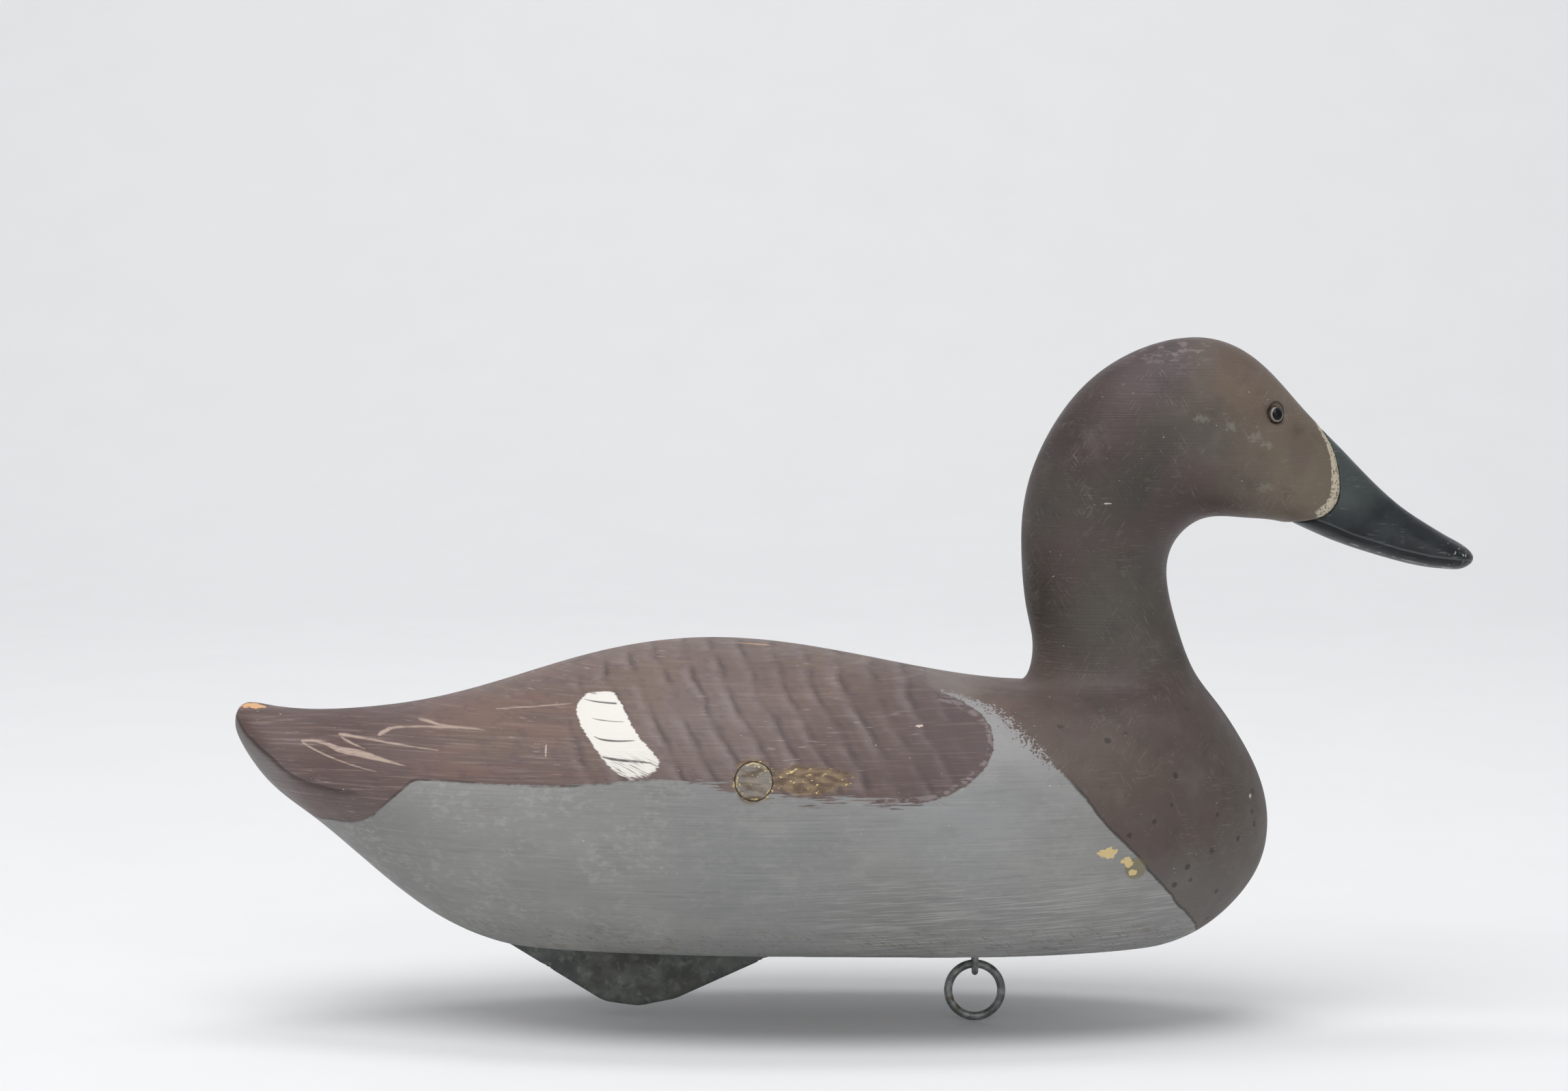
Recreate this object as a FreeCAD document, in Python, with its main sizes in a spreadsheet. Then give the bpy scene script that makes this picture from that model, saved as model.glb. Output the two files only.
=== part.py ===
# Floating duck decoy: a carved canvasback hen with a cast keel and an anchor-line ring.
# Millimetres. +X to the bill, +Z up, origin on the flat of the hull at mid body length.
import FreeCAD, Part
import math
import os
import Sketcher
from FreeCAD import Vector

SECTION_POINTS = 24

doc = FreeCAD.newDocument("duck_decoy")
sheet = doc.addObject("Spreadsheet::Sheet", "sizes")

# Single sizes: alias, value, what it is
SIZES = [
    ("tail_end_along", -209.6, "tip of the tail"),
    ("tail_end_height", 88.5, "tip of the tail"),
    ("breast_end_along", 209.0, "foremost point of the breast"),
    ("breast_end_height", 48.5, "foremost point of the breast"),
    ("bill_end_along", 291.4, "tip of the bill"),
    ("bill_end_height", 155.9, "tip of the bill"),
    ("seat_height", 107.0, "top of the body block under the neck"),
    ("seat_back", 98.0, "back edge of the neck seat"),
    ("stock_reach", 700.0, "side of the waste blocks that trim the carved form"),
    ("neck_blend", 5.0, "radius worked where neck meets body"),
    ("neck_search", 20.0, "depth below the seat where the corner round the neck can lie"),
    ("neck_span", 30.0, "least breadth of the corner round the neck"),
    ("under_chin", 40.0, "waste cleared below the chin"),
    ("dowel_radius", 9.5, "neck dowel"),
    ("dowel_at", 143.0, "neck dowel along the body"),
    ("dowel_length", 74.0, "neck dowel"),
    ("dowel_sunk", 38.0, "neck dowel below the seat"),
    ("bill_dowel_radius", 4.0, "bill dowel"),
    ("bill_dowel_length", 34.0, "bill dowel"),
    ("bill_dowel_at", 219.0, "back end of the bill dowel along the body"),
    ("bill_dowel_height", 197.0, "back end of the bill dowel above the flat"),
    ("bill_dowel_dip", 30.0, "fall of the bill dowel, degrees"),
    ("eye_at", 209.5, "eye along the body"),
    ("eye_height", 215.2, "eye above the flat"),
    ("eye_out", 20.2, "middle of the eye disc from the centre plane"),
    ("eye_turn", 26.0, "eye faces this far forward, degrees"),
    ("eye_tilt", 19.0, "eye faces this far up, degrees"),
    ("eye_radius", 3.1, "glass eye"),
    ("eye_dome", 2.4, "height of the glass dome"),
    ("eye_disc", 1.6, "thickness of the glass behind its dome"),
    ("eye_groove", 0.9, "groove round the glass eye"),
    ("eye_recess_depth", 20.0, "eye recess, run out through the cheek"),
    ("eye_wire_radius", 0.8, "wire stem of the eye"),
    ("eye_wire_length", 11.0, "wire stem of the eye"),
    ("knot_radius", 7.2, "knot plug in the flank"),
    ("knot_length", 26.0, "knot plug in the flank"),
    ("knot_at", 1.0, "knot along the body"),
    ("knot_height", 75.5, "knot above the flat"),
    ("knot_inner", 64.0, "inner end of the knot from the centre plane"),
    ("keel_thick", 7.0, "cast keel"),
    ("keel_let_in", 1.2, "depth of the keel seat in the hull"),
    ("keel_shoulder", -0.6, "height where the keel starts to narrow"),
    ("keel_rear", -100.5, "rear tip of the keel"),
    ("keel_front", 21.0, "front tip of the keel"),
    ("keel_heel", -60.5, "rear corner of the underside"),
    ("keel_heel_drop", -25.3, "rear corner of the underside"),
    ("keel_sole", -46.5, "lowest point"),
    ("keel_drop", -27.3, "lowest point"),
    ("keel_toe", -31.5, "front corner of the underside"),
    ("keel_toe_drop", -24.3, "front corner of the underside"),
    ("keel_corner", 15.0, "rounding of the lowest corners"),
    ("keel_edge", 1.4, "rounding of the long edges"),
    ("keel_fit", 0.1, "slack round the keel in its seat"),
    ("screw_radius", 1.4, "keel screw shank"),
    ("screw_head_radius", 2.2, "keel screw head"),
    ("screw_head_depth", 2.6, "keel screw head"),
    ("screw_head_rim", 0.8, "straight rim of the screw head"),
    ("screw_point", 4.0, "screw point"),
    ("screw_rear", -83.0, "rear keel screw"),
    ("screw_front", 4.0, "front keel screw"),
    ("screw_head_drop", -4.6, "underside of the screw heads"),
    ("screw_length", 27.0, "keel screw"),
    ("bore_slack", 0.2, "slack round the screw heads in the keel"),
    ("bore_length", 30.0, "counterbore below each screw head"),
    ("ring_at", 90.5, "ring and staple along the body"),
    ("ring_wire_radius", 1.7, "line ring wire"),
    ("ring_radius", 10.8, "line ring to the middle of its wire"),
    ("ring_pivot", -10.2, "middle of the ring wire where it hangs"),
    ("ring_slack", 0.35, "ring wire above the staple wire"),
    ("staple_wire_radius", 1.3, "staple wire"),
    ("staple_half", 6.0, "half the spread of the staple legs"),
    ("staple_bite", 16.0, "staple legs in the wood"),
]

# Hull stations: along, half breadth, height of the back, of the widest line and of the
# belly, and the fullness of the section above and below the widest line (2 is an ellipse).
HULL_COLUMNS = ("along", "half", "top", "wide", "low", "full_up", "full_down")
HULL = [
    (-205.0, 17.0, 96.8, 88.0, 77.5, 2.0, 1.9),
    (-196.0, 26.0, 95.6, 80.5, 65.0, 2.0, 1.6),
    (-178.0, 35.5, 93.9, 71.5, 50.3, 2.0, 1.5),
    (-156.0, 45.0, 94.8, 67.0, 31.6, 2.0, 1.5),
    (-130.0, 56.0, 98.4, 63.0, 11.5, 2.0, 1.6),
    (-100.0, 67.0, 106.2, 58.5, -1.0, 2.1, 1.85),
    (-62.0, 77.5, 117.2, 54.0, -4.8, 2.2, 2.1),
    (-14.0, 84.0, 122.7, 51.0, -5.2, 2.25, 2.35),
    (45.0, 84.0, 115.1, 50.0, -5.6, 2.3, 2.45),
    (100.0, 78.5, 106.0, 49.5, -6.2, 2.3, 2.5),
    (145.0, 66.5, 108.8, 49.5, -4.2, 2.2, 2.35),
    (178.0, 49.0, 108.6, 49.5, 3.2, 2.1, 2.1),
    (197.0, 31.0, 84.3, 49.0, 18.0, 2.0, 2.0),
    (205.6, 17.0, 67.0, 48.5, 31.0, 2.0, 2.0),
]

# Head stations, fanned round the throat: throat side along and height, nape side along
# and height, half breadth, where the widest line sits between them and the fullness.
HEAD_COLUMNS = ("in_at", "in_up", "out_at", "out_up", "half", "bulge", "full")
HEAD = [
    (181.0, 89.0, 122.0, 89.0, 30.0, 0.50, 2.0),
    (180.6, 107.0, 111.5, 107.0, 27.0, 0.50, 2.0),
    (177.0, 116.0, 113.3, 117.0, 24.8, 0.50, 2.0),
    (171.0, 132.0, 111.3, 133.0, 23.5, 0.50, 2.0),
    (167.5, 150.0, 108.9, 154.0, 24.0, 0.49, 2.0),
    (170.4, 162.2, 109.5, 177.0, 25.5, 0.47, 2.0),
    (178.2, 170.2, 116.4, 200.0, 27.2, 0.45, 2.1),
    (188.5, 172.9, 133.4, 225.1, 27.8, 0.45, 2.25),
    (199.5, 172.2, 158.0, 241.0, 27.0, 0.44, 2.35),
    (209.5, 171.4, 184.8, 244.6, 25.4, 0.43, 2.45),
    (218.0, 169.4, 203.4, 236.0, 22.9, 0.42, 2.5),
    (227.0, 166.0, 222.0, 216.5, 19.2, 0.39, 2.4),
    (238.0, 161.4, 234.0, 204.3, 16.2, 0.36, 2.3),
    (249.0, 157.6, 245.5, 193.0, 14.6, 0.32, 2.15),
]

# Bill stations, same columns: underside point, ridge point, half breadth, widest line.
BILL = [
    (203.0, 176.5, 210.0, 229.0, 17.5, 0.30, 2.2),
    (217.0, 170.8, 223.0, 214.7, 16.0, 0.29, 2.2),
    (232.5, 163.8, 236.5, 201.3, 14.6, 0.28, 2.2),
    (247.0, 158.7, 250.0, 187.4, 13.2, 0.28, 2.2),
    (260.0, 154.9, 262.5, 176.3, 12.7, 0.29, 2.25),
    (272.0, 152.3, 273.5, 169.0, 13.2, 0.31, 2.3),
    (281.5, 151.4, 282.3, 163.8, 13.0, 0.35, 2.3),
    (287.6, 152.2, 287.8, 160.2, 9.6, 0.42, 2.2),
]

# The edge of the face against the bill, seen from the side, from above the brow to the chin.
FACE_COLUMNS = ("along", "up")
FACE_EDGE = [
    (222.5, 219.0),
    (228.0, 210.2),
    (233.6, 200.2),
    (235.8, 188.5),
    (234.2, 178.6),
    (228.0, 173.4),
    (217.0, 171.0),
    (209.0, 168.0),
]


def write_sheet():
    """Puts every size and station into the sheet, one row each, with its alias."""
    row = 1
    for alias, value, note in SIZES:
        sheet.set("A%d" % row, alias)
        sheet.set("B%d" % row, repr(value))
        sheet.set("C%d" % row, note)
        sheet.setAlias("B%d" % row, alias)
        row += 1
    for name, columns, stations in (
        ("hull", HULL_COLUMNS, HULL),
        ("head", HEAD_COLUMNS, HEAD),
        ("bill", HEAD_COLUMNS, BILL),
        ("face", FACE_COLUMNS, FACE_EDGE),
    ):
        for number, station in enumerate(stations):
            for letter, column, value in zip("BCDEFGH", columns, station):
                cell = "%s%d" % (letter, row)
                sheet.set(cell, repr(value))
                sheet.setAlias(cell, "%s_%s_%s" % (name, chr(97 + number), column))
            sheet.set("A%d" % row, "%s station %s" % (name, chr(97 + number)))
            row += 1
    doc.recompute()


def size(alias):
    return float(sheet.get(alias))


def stations(name, columns, count):
    """Reads the stations of one carved form back from the sheet."""
    return [
        {c: size("%s_%s_%s" % (name, chr(97 + n), c)) for c in columns} for n in range(count)
    ]


def end_point(name):
    """The point on the centre plane where a carved form closes."""
    return Vector(size(name + "_along"), 0, size(name + "_height"))


def powered(value, fullness):
    return math.copysign(abs(value) ** (2.0 / fullness), value)


def hull_section(s):
    """Points round the hull at one station, from the belly up the left side and over."""
    points = []
    for k in range(SECTION_POINTS):
        turn = 2 * math.pi * k / SECTION_POINTS - math.pi / 2
        up = math.sin(turn)
        full = s["full_up"] if up >= 0 else s["full_down"]
        rise = (s["top"] - s["wide"]) if up >= 0 else (s["wide"] - s["low"])
        y = s["half"] * powered(math.cos(turn), full)
        points.append(Vector(s["along"], y, s["wide"] + rise * powered(up, full)))
    return points


def fan_section(s):
    """Points round the head or bill at one station, from the throat side round the left."""
    inner = Vector(s["in_at"], 0, s["in_up"])
    outer = Vector(s["out_at"], 0, s["out_up"])
    across = outer - inner
    points = []
    for k in range(SECTION_POINTS):
        turn = 2 * math.pi * k / SECTION_POINTS - math.pi / 2
        out = powered(math.sin(turn), s["full"])
        share = s["bulge"] + out * ((1 - s["bulge"]) if out >= 0 else s["bulge"])
        y = s["half"] * powered(math.cos(turn), s["full"])
        points.append(inner + across * share + Vector(0, y, 0))
    return points


def ring_curve(points):
    """The closed curve through the points of one section."""
    curve = Part.BSplineCurve()
    curve.interpolate(
        Points=points, PeriodicFlag=True, Parameters=[float(k) for k in range(len(points) + 1)]
    )
    return curve


def blunted(row, end):
    """Moves the ring of control points next to a pole into the pole's plane, which rounds it."""
    return [Vector(end.x, pole.y, pole.z) for pole in row]


def skin(sections, places, start=None, end=None):
    """A smooth face through closed sections, closed to a point at a given start or end."""
    rings = [ring_curve(points) for points in sections]
    rows = [ring.getPoles() for ring in rings]
    if start is not None:
        rows.insert(0, [start] * len(rows[0]))
    if end is not None:
        rows.append([end] * len(rows[0]))
    columns = []
    for column in zip(*rows):
        along = Part.BSplineCurve()
        along.interpolate(Points=list(column), Parameters=places)
        columns.append(along)
    poles = [list(row) for row in zip(*[column.getPoles() for column in columns])]
    if start is not None:
        poles[1] = blunted(poles[1], start)
    if end is not None:
        poles[-2] = blunted(poles[-2], end)
    surface = Part.BSplineSurface()
    surface.buildFromPolesMultsKnots(
        poles,
        columns[0].getMultiplicities(),
        rings[0].getMultiplicities(),
        columns[0].getKnots(),
        rings[0].getKnots(),
        False,
        True,
        3,
        3,
    )
    return surface.toShape()


def closed_solid(face, lids):
    shell = Part.Shell([face] + lids)
    solid = Part.Solid(shell)
    if solid.Volume < 0:
        solid.reverse()
    return solid


def lid(points):
    """The flat end of a carved form, over one section."""
    curve = ring_curve(points)
    return Part.Face(Part.Wire(curve.toShape()))


def chord_places(points):
    """Where each station sits along the skin: the distance run so far."""
    places = [0.0]
    for a, b in zip(points, points[1:]):
        places.append(places[-1] + a.distanceToPoint(b))
    return places


def hull_solid():
    rows = stations("hull", HULL_COLUMNS, len(HULL))
    tail = end_point("tail_end")
    breast = end_point("breast_end")
    sections = [hull_section(s) for s in rows]
    spine = [tail] + [Vector(s["along"], s["half"], s["wide"]) for s in rows] + [breast]
    return closed_solid(skin(sections, chord_places(spine), tail, breast), [])


def head_solid():
    rows = stations("head", HEAD_COLUMNS, len(HEAD))
    sections = [fan_section(s) for s in rows]
    spine = [
        Vector((s["in_at"] + s["out_at"]) / 2, 0, (s["in_up"] + s["out_up"]) / 2) for s in rows
    ]
    face = skin(sections, chord_places(spine))
    return closed_solid(face, [lid(sections[0]), lid(sections[-1])])


def bill_solid():
    rows = stations("bill", HEAD_COLUMNS, len(BILL))
    sections = [fan_section(s) for s in rows]
    tip = end_point("bill_end")
    spine = [
        Vector((s["in_at"] + s["out_at"]) / 2, 0, (s["in_up"] + s["out_up"]) / 2) for s in rows
    ] + [tip]
    return closed_solid(skin(sections, chord_places(spine), None, tip), [lid(sections[0])])


def carved(name, shape):
    """A carved form, kept in the document as a shape the pieces are trimmed from."""
    feature = doc.addObject("Part::Feature", name)
    feature.Shape = shape
    return feature


def bind(obj, **cells):
    for prop, expression in cells.items():
        obj.setExpression(prop, expression)
    return obj


def place(obj, x=None, y=None, z=None):
    """Binds an object's position to cells of the sheet."""
    for axis, expression in (("x", x), ("y", y), ("z", z)):
        if expression is not None:
            obj.setExpression("Placement.Base." + axis, expression)
    return obj


def box(name, length, width, height, x, y, z):
    block = doc.addObject("Part::Box", name)
    bind(block, Length=length, Width=width, Height=height)
    return place(block, x, y, z)


def cylinder(name, radius, height, x=None, y=None, z=None):
    post = doc.addObject("Part::Cylinder", name)
    bind(post, Radius=radius, Height=height)
    return place(post, x, y, z)


def joined(name, pieces):
    union = doc.addObject("Part::MultiFuse", name)
    union.Shapes = pieces
    return union


def cut(name, base, tool):
    result = doc.addObject("Part::Cut", name)
    result.Base = base
    result.Tool = tool
    return result


def common(name, base, tool):
    result = doc.addObject("Part::Common", name)
    result.Base = base
    result.Tool = tool
    return result


def plane(body, role):
    return next(f for f in body.Origin.OriginFeatures if f.Role == role)


def sketch_on(body, name, role):
    sketch = body.newObject("Sketcher::SketchObject", name)
    sketch.AttachmentSupport = (plane(body, role), [""])
    sketch.MapMode = "FlatFace"
    return sketch


def pin(sketch, geometry, end, x, y):
    """Fixes one end of a line at a point given by two cells or formulas."""
    for kind, formula in (("DistanceX", x), ("DistanceY", y)):
        start = size_of(formula)
        index = sketch.addConstraint(Sketcher.Constraint(kind, -1, 1, geometry, end, start))
        sketch.setExpression("Constraints[%d]" % index, formula)


def outline(sketch, corners):
    """A closed outline of straight lines through corners given as formulas."""
    points = [Vector(size_of(x), size_of(y), 0) for x, y in corners]
    for here, there in zip(points, points[1:] + points[:1]):
        sketch.addGeometry(Part.LineSegment(here, there), False)
    count = len(corners)
    for k in range(count):
        sketch.addConstraint(Sketcher.Constraint("Coincident", k, 2, (k + 1) % count, 1))
    for k, (x, y) in enumerate(corners):
        pin(sketch, k, 1, x, y)


def size_of(formula):
    """The present value of a cell formula, where the sketch solver starts from."""
    return float(sheet.evalExpression(formula.replace("sizes.", "")))


def body(name):
    return doc.addObject("PartDesign::Body", name)


def turned(name, corners):
    """A turned piece: a half outline of (radius, height) formulas spun round its axis."""
    piece = body(name)
    sketch = sketch_on(piece, name + "_half", "XZ_Plane")
    outline(sketch, corners)
    spin = piece.newObject("PartDesign::Revolution", name + "_turned")
    spin.Profile = sketch
    spin.ReferenceAxis = (sketch, ["V_Axis"])
    spin.Angle = 360.0
    piece.Tip = spin
    return piece


def keel():
    """The cast fin, let into the hull, with its lowest corners and long edges rounded."""
    piece = body("keel_fin")
    sketch = sketch_on(piece, "keel_side", "XZ_Plane")
    outline(
        sketch,
        [
            ("sizes.keel_rear", "sizes.keel_let_in"),
            ("sizes.keel_rear", "sizes.keel_shoulder"),
            ("sizes.keel_heel", "sizes.keel_heel_drop"),
            ("sizes.keel_sole", "sizes.keel_drop"),
            ("sizes.keel_toe", "sizes.keel_toe_drop"),
            ("sizes.keel_front", "sizes.keel_shoulder"),
            ("sizes.keel_front", "sizes.keel_let_in"),
        ],
    )
    pad = piece.newObject("PartDesign::Pad", "keel_casting")
    pad.Profile = sketch
    pad.Midplane = True
    pad.setExpression("Length", "sizes.keel_thick")
    doc.recompute()
    low = size("keel_toe_drop") + size("keel_edge")
    corners = [
        "Edge%d" % (n + 1)
        for n, e in enumerate(pad.Shape.Edges)
        if e.BoundBox.ZMax < low and e.BoundBox.YLength > 1 and e.BoundBox.XLength < 0.01
    ]
    rounded = piece.newObject("PartDesign::Fillet", "keel_corners")
    rounded.Base = (pad, corners)
    rounded.setExpression("Radius", "sizes.keel_corner")
    doc.recompute()
    long_edges = [
        "Edge%d" % (n + 1)
        for n, e in enumerate(rounded.Shape.Edges)
        if e.BoundBox.YLength < 0.01 and e.BoundBox.ZMin < -1.0
    ]
    eased = piece.newObject("PartDesign::Fillet", "keel_easing")
    eased.Base = (rounded, long_edges)
    eased.setExpression("Radius", "sizes.keel_edge")
    piece.Tip = eased
    doc.recompute()
    return piece


def staple():
    """The wire staple that holds the line ring: two legs and a round crown."""
    piece = body("line_staple")
    path = sketch_on(piece, "staple_path", "YZ_Plane")
    half = size("staple_half")
    wire = size("staple_wire_radius")
    crown_height = (
        "sizes.ring_pivot - sizes.ring_wire_radius - sizes.ring_slack"
        " - sizes.staple_wire_radius + sizes.staple_half"
    )
    crown = size_of(crown_height)
    top = size("staple_bite")
    path.addGeometry(Part.LineSegment(Vector(-half, top, 0), Vector(-half, crown, 0)), False)
    bend = Part.Circle(Vector(0, crown, 0), Vector(0, 0, 1), half)
    path.addGeometry(Part.ArcOfCircle(bend, math.pi, 2 * math.pi), False)
    path.addGeometry(Part.LineSegment(Vector(half, crown, 0), Vector(half, top, 0)), False)
    path.addConstraint(Sketcher.Constraint("Tangent", 0, 2, 1, 1))
    path.addConstraint(Sketcher.Constraint("Tangent", 1, 2, 2, 1))
    path.addConstraint(Sketcher.Constraint("Vertical", 0))
    pin(path, 0, 1, "-sizes.staple_half", "sizes.staple_bite")
    pin(path, 2, 2, "sizes.staple_half", "sizes.staple_bite")
    pin(path, 1, 3, "0", crown_height)
    wire_end = sketch_on(piece, "staple_wire", "XY_Plane")
    wire_end.setExpression("AttachmentOffset.Base.y", "-sizes.staple_half")
    wire_end.setExpression("AttachmentOffset.Base.z", "sizes.staple_bite")
    wire_end.addGeometry(Part.Circle(Vector(0, 0, 0), Vector(0, 0, 1), wire), False)
    wire_end.addConstraint(Sketcher.Constraint("Coincident", 0, 3, -1, 1))
    index = wire_end.addConstraint(Sketcher.Constraint("Radius", 0, wire))
    wire_end.setExpression("Constraints[%d]" % index, "sizes.staple_wire_radius")
    pipe = piece.newObject("PartDesign::AdditivePipe", "staple_bent")
    pipe.Profile = wire_end
    pipe.Spine = (path, ["Edge1", "Edge2", "Edge3"])
    piece.Tip = pipe
    return place(piece, x="sizes.ring_at")


def line_ring():
    ring = doc.addObject("Part::Torus", "line_ring")
    bind(ring, Radius1="sizes.ring_radius", Radius2="sizes.ring_wire_radius")
    place(ring, x="sizes.ring_at", z="sizes.ring_pivot - sizes.ring_radius")
    ring.Placement.Rotation = FreeCAD.Rotation(Vector(1, 0, 0), 90)
    return ring


def keel_screw(name, at):
    """One wood screw driven up through the keel: a dished head, a shank and a point."""
    screw = turned(
        name,
        [
            ("0", "0"),
            ("sizes.screw_head_radius", "0"),
            ("sizes.screw_head_radius", "sizes.screw_head_rim"),
            ("sizes.screw_radius", "sizes.screw_head_depth"),
            ("sizes.screw_radius", "sizes.screw_length - sizes.screw_point"),
            ("0", "sizes.screw_length"),
        ],
    )
    return place(screw, x=at, z="sizes.screw_head_drop")


def screw_bore(name, at):
    """The counterbore in the keel that lets the screw head in from below."""
    return cylinder(
        name,
        "sizes.screw_head_radius + sizes.bore_slack",
        "sizes.bore_length",
        x=at,
        z="sizes.screw_head_drop - sizes.bore_length",
    )


def eye_facing(side):
    """Turns an upright eye to look out sideways, a little forward and a little up."""
    sideways = FreeCAD.Rotation(Vector(1, 0, 0), -side * (90 - size("eye_tilt")))
    return FreeCAD.Rotation(Vector(0, 0, 1), -side * size("eye_turn")).multiply(sideways)


def eye(name, side):
    """A glass eye: a dome on a short disc, with its wire stem pushed into the head."""
    dome = doc.addObject("Part::Sphere", name + "_dome")
    curve = "(sizes.eye_radius^2 + sizes.eye_dome^2) / (2 * sizes.eye_dome)"
    bind(dome, Radius=curve)
    place(dome, z="sizes.eye_dome - " + curve)
    disc = cylinder(name + "_disc", "sizes.eye_radius", "sizes.eye_disc", z="-sizes.eye_disc")
    gauge = cylinder(name + "_gauge", "sizes.eye_radius", "sizes.eye_dome")
    cap = common(name + "_cap", dome, gauge)
    wire = cylinder(
        name + "_wire", "sizes.eye_wire_radius", "sizes.eye_wire_length", z="-sizes.eye_wire_length"
    )
    glass = joined(name, [cap, disc, wire])
    glass.Refine = True
    place(glass, "sizes.eye_at", "%d * sizes.eye_out" % side, "sizes.eye_height")
    glass.Placement.Rotation = eye_facing(side)
    return glass


def eye_socket(name, side):
    """The bored socket behind one eye: a flat-bottomed recess and a hole for the wire."""
    recess = cylinder(
        name + "_recess",
        "sizes.eye_radius + sizes.eye_groove",
        "sizes.eye_recess_depth",
        z="-sizes.eye_disc",
    )
    hole = cylinder(
        name + "_hole", "sizes.eye_wire_radius", "sizes.eye_wire_length", z="-sizes.eye_wire_length"
    )
    socket = joined(name, [recess, hole])
    place(socket, "sizes.eye_at", "%d * sizes.eye_out" % side, "sizes.eye_height")
    socket.Placement.Rotation = eye_facing(side)
    return socket


def bill_dowel(name, radius):
    peg = cylinder(name, radius, "sizes.bill_dowel_length", "sizes.bill_dowel_at", "0",
                   "sizes.bill_dowel_height")
    peg.Placement.Rotation = FreeCAD.Rotation(Vector(0, 1, 0), 90 + size("bill_dowel_dip"))
    return peg


def knot_rod(name):
    rod = cylinder(name, "sizes.knot_radius", "sizes.knot_length", "sizes.knot_at",
                   "-sizes.knot_inner", "sizes.knot_height")
    rod.Placement.Rotation = FreeCAD.Rotation(Vector(1, 0, 0), 90)
    return rod


def blended(hull, head):
    """Hull and head worked into one form, with the corner round the neck rounded out."""
    whole = hull.fuse(head)
    seams = [e for e in whole.Edges if len(whole.ancestorsOfType(e, Part.Face)) == 2]
    corner = [e for e in seams if around_neck(e)]
    return whole.makeFillet(size("neck_blend"), corner).Solids[0]


def around_neck(edge):
    """True for the closed edge where the neck leaves the back."""
    bounds = edge.BoundBox
    low = size("seat_height") - size("neck_search")
    return bounds.ZMin > low and bounds.YLength > size("neck_span")


def ahead_of_face():
    """Everything forward of the face's edge: the side outline of that edge, run right across."""
    rows = stations("face", FACE_COLUMNS, len(FACE_EDGE))
    points = [Vector(row["along"], 0, row["up"]) for row in rows]
    edge = Part.BSplineCurve()
    edge.interpolate(Points=points)
    far = size("stock_reach") / 2
    chin = Vector(points[-1].x, 0, points[-1].z - size("under_chin"))
    rest = Part.makePolygon(
        [points[-1], chin, Vector(far, 0, chin.z), Vector(far, 0, points[0].z), points[0]]
    )
    side = Part.Face(Part.Wire([edge.toShape()] + rest.Edges))
    side.translate(Vector(0, -far, 0))
    return side.extrude(Vector(0, 2 * far, 0))


def build():
    hull = hull_solid()
    head = head_solid()
    whole = carved("carved_form", blended(hull, head))
    head_stock = box("head_stock", *["sizes.stock_reach"] * 3, "sizes.seat_back",
                     "-sizes.stock_reach / 2", "sizes.seat_height")
    below = box("below_flat", *["sizes.stock_reach"] * 3, "-sizes.stock_reach / 2",
                "-sizes.stock_reach / 2", "-sizes.stock_reach")
    keel_seat = box("keel_seat", "sizes.keel_front - sizes.keel_rear + 2 * sizes.keel_fit",
                    "sizes.keel_thick + 2 * sizes.keel_fit", "2 * sizes.keel_let_in",
                    "sizes.keel_rear - sizes.keel_fit",
                    "-sizes.keel_thick / 2 - sizes.keel_fit", "-sizes.keel_let_in")
    ahead = carved("ahead_of_face", ahead_of_face())
    dowel = cylinder("neck_dowel", "sizes.dowel_radius", "sizes.dowel_length",
                     "sizes.dowel_at", "0", "sizes.seat_height - sizes.dowel_sunk")
    peg = bill_dowel("bill_dowel", "sizes.bill_dowel_radius")
    ring = line_ring()
    holder = staple()
    fin = keel()
    screws = [
        keel_screw("rear_screw", "sizes.screw_rear"),
        keel_screw("front_screw", "sizes.screw_front"),
    ]
    eyes = [eye("eye_left", 1), eye("eye_right", -1)]
    sockets = [eye_socket("left_socket", 1), eye_socket("right_socket", -1)]
    rod = knot_rod("knot_rod")
    screw_set = doc.addObject("Part::Compound", "keel_screws")
    screw_set.Links = screws
    doc.recompute()
    solid = whole.Shape
    lower = solid.cut(head_stock.Shape)
    upper = solid.common(head_stock.Shape)
    knot = carved("knot_plug", lower.common(rod.Shape).Solids[0])
    bores = [part.Shape for part in (below, keel_seat, dowel, rod, holder, screw_set)]
    block = carved("body_block", lower.cut(bores).Solids[0])
    keel_bores = [
        screw_bore("rear_bore", "sizes.screw_rear"),
        screw_bore("front_bore", "sizes.screw_front"),
    ]
    weight = cut("keel_weight", fin, joined("keel_holes", [screw_set] + keel_bores))
    openings = [part.Shape for part in [ahead, dowel, peg] + sockets]
    head_piece = carved("neck_head", upper.cut(openings).Solids[0])
    bill = carved("bill", bill_solid().common(ahead.Shape).cut(peg.Shape).Solids[0])
    doc.recompute()
    return {
        "body_block": block,
        "knot_plug": knot,
        "neck_head": head_piece,
        "neck_dowel": dowel,
        "bill": bill,
        "bill_dowel": peg,
        "eye_left": eyes[0],
        "eye_right": eyes[1],
        "keel_weight": weight,
        "keel_screws": screw_set,
        "line_staple": holder,
        "line_ring": ring,
    }


def write_parts(nodes):
    """Checks every piece and writes it under its own name."""
    os.makedirs("parts", exist_ok=True)
    for obj in doc.Objects:
        if "Invalid" in obj.State or "Error" in obj.State:
            raise RuntimeError("%s did not build: %s" % (obj.Label, obj.State))
    for node, obj in nodes.items():
        shape = obj.Shape
        if shape.isNull() or not shape.isValid():
            raise RuntimeError("%s has no valid shape" % node)
        if obj.Label != node:
            obj.Label = node
        shape.exportStep("parts/%s.step" % node)
        print("%-14s %8.2f cm3 solids %d" % (node, shape.Volume / 1000, len(shape.Solids)))


write_sheet()
write_parts(build())
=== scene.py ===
import math

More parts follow.
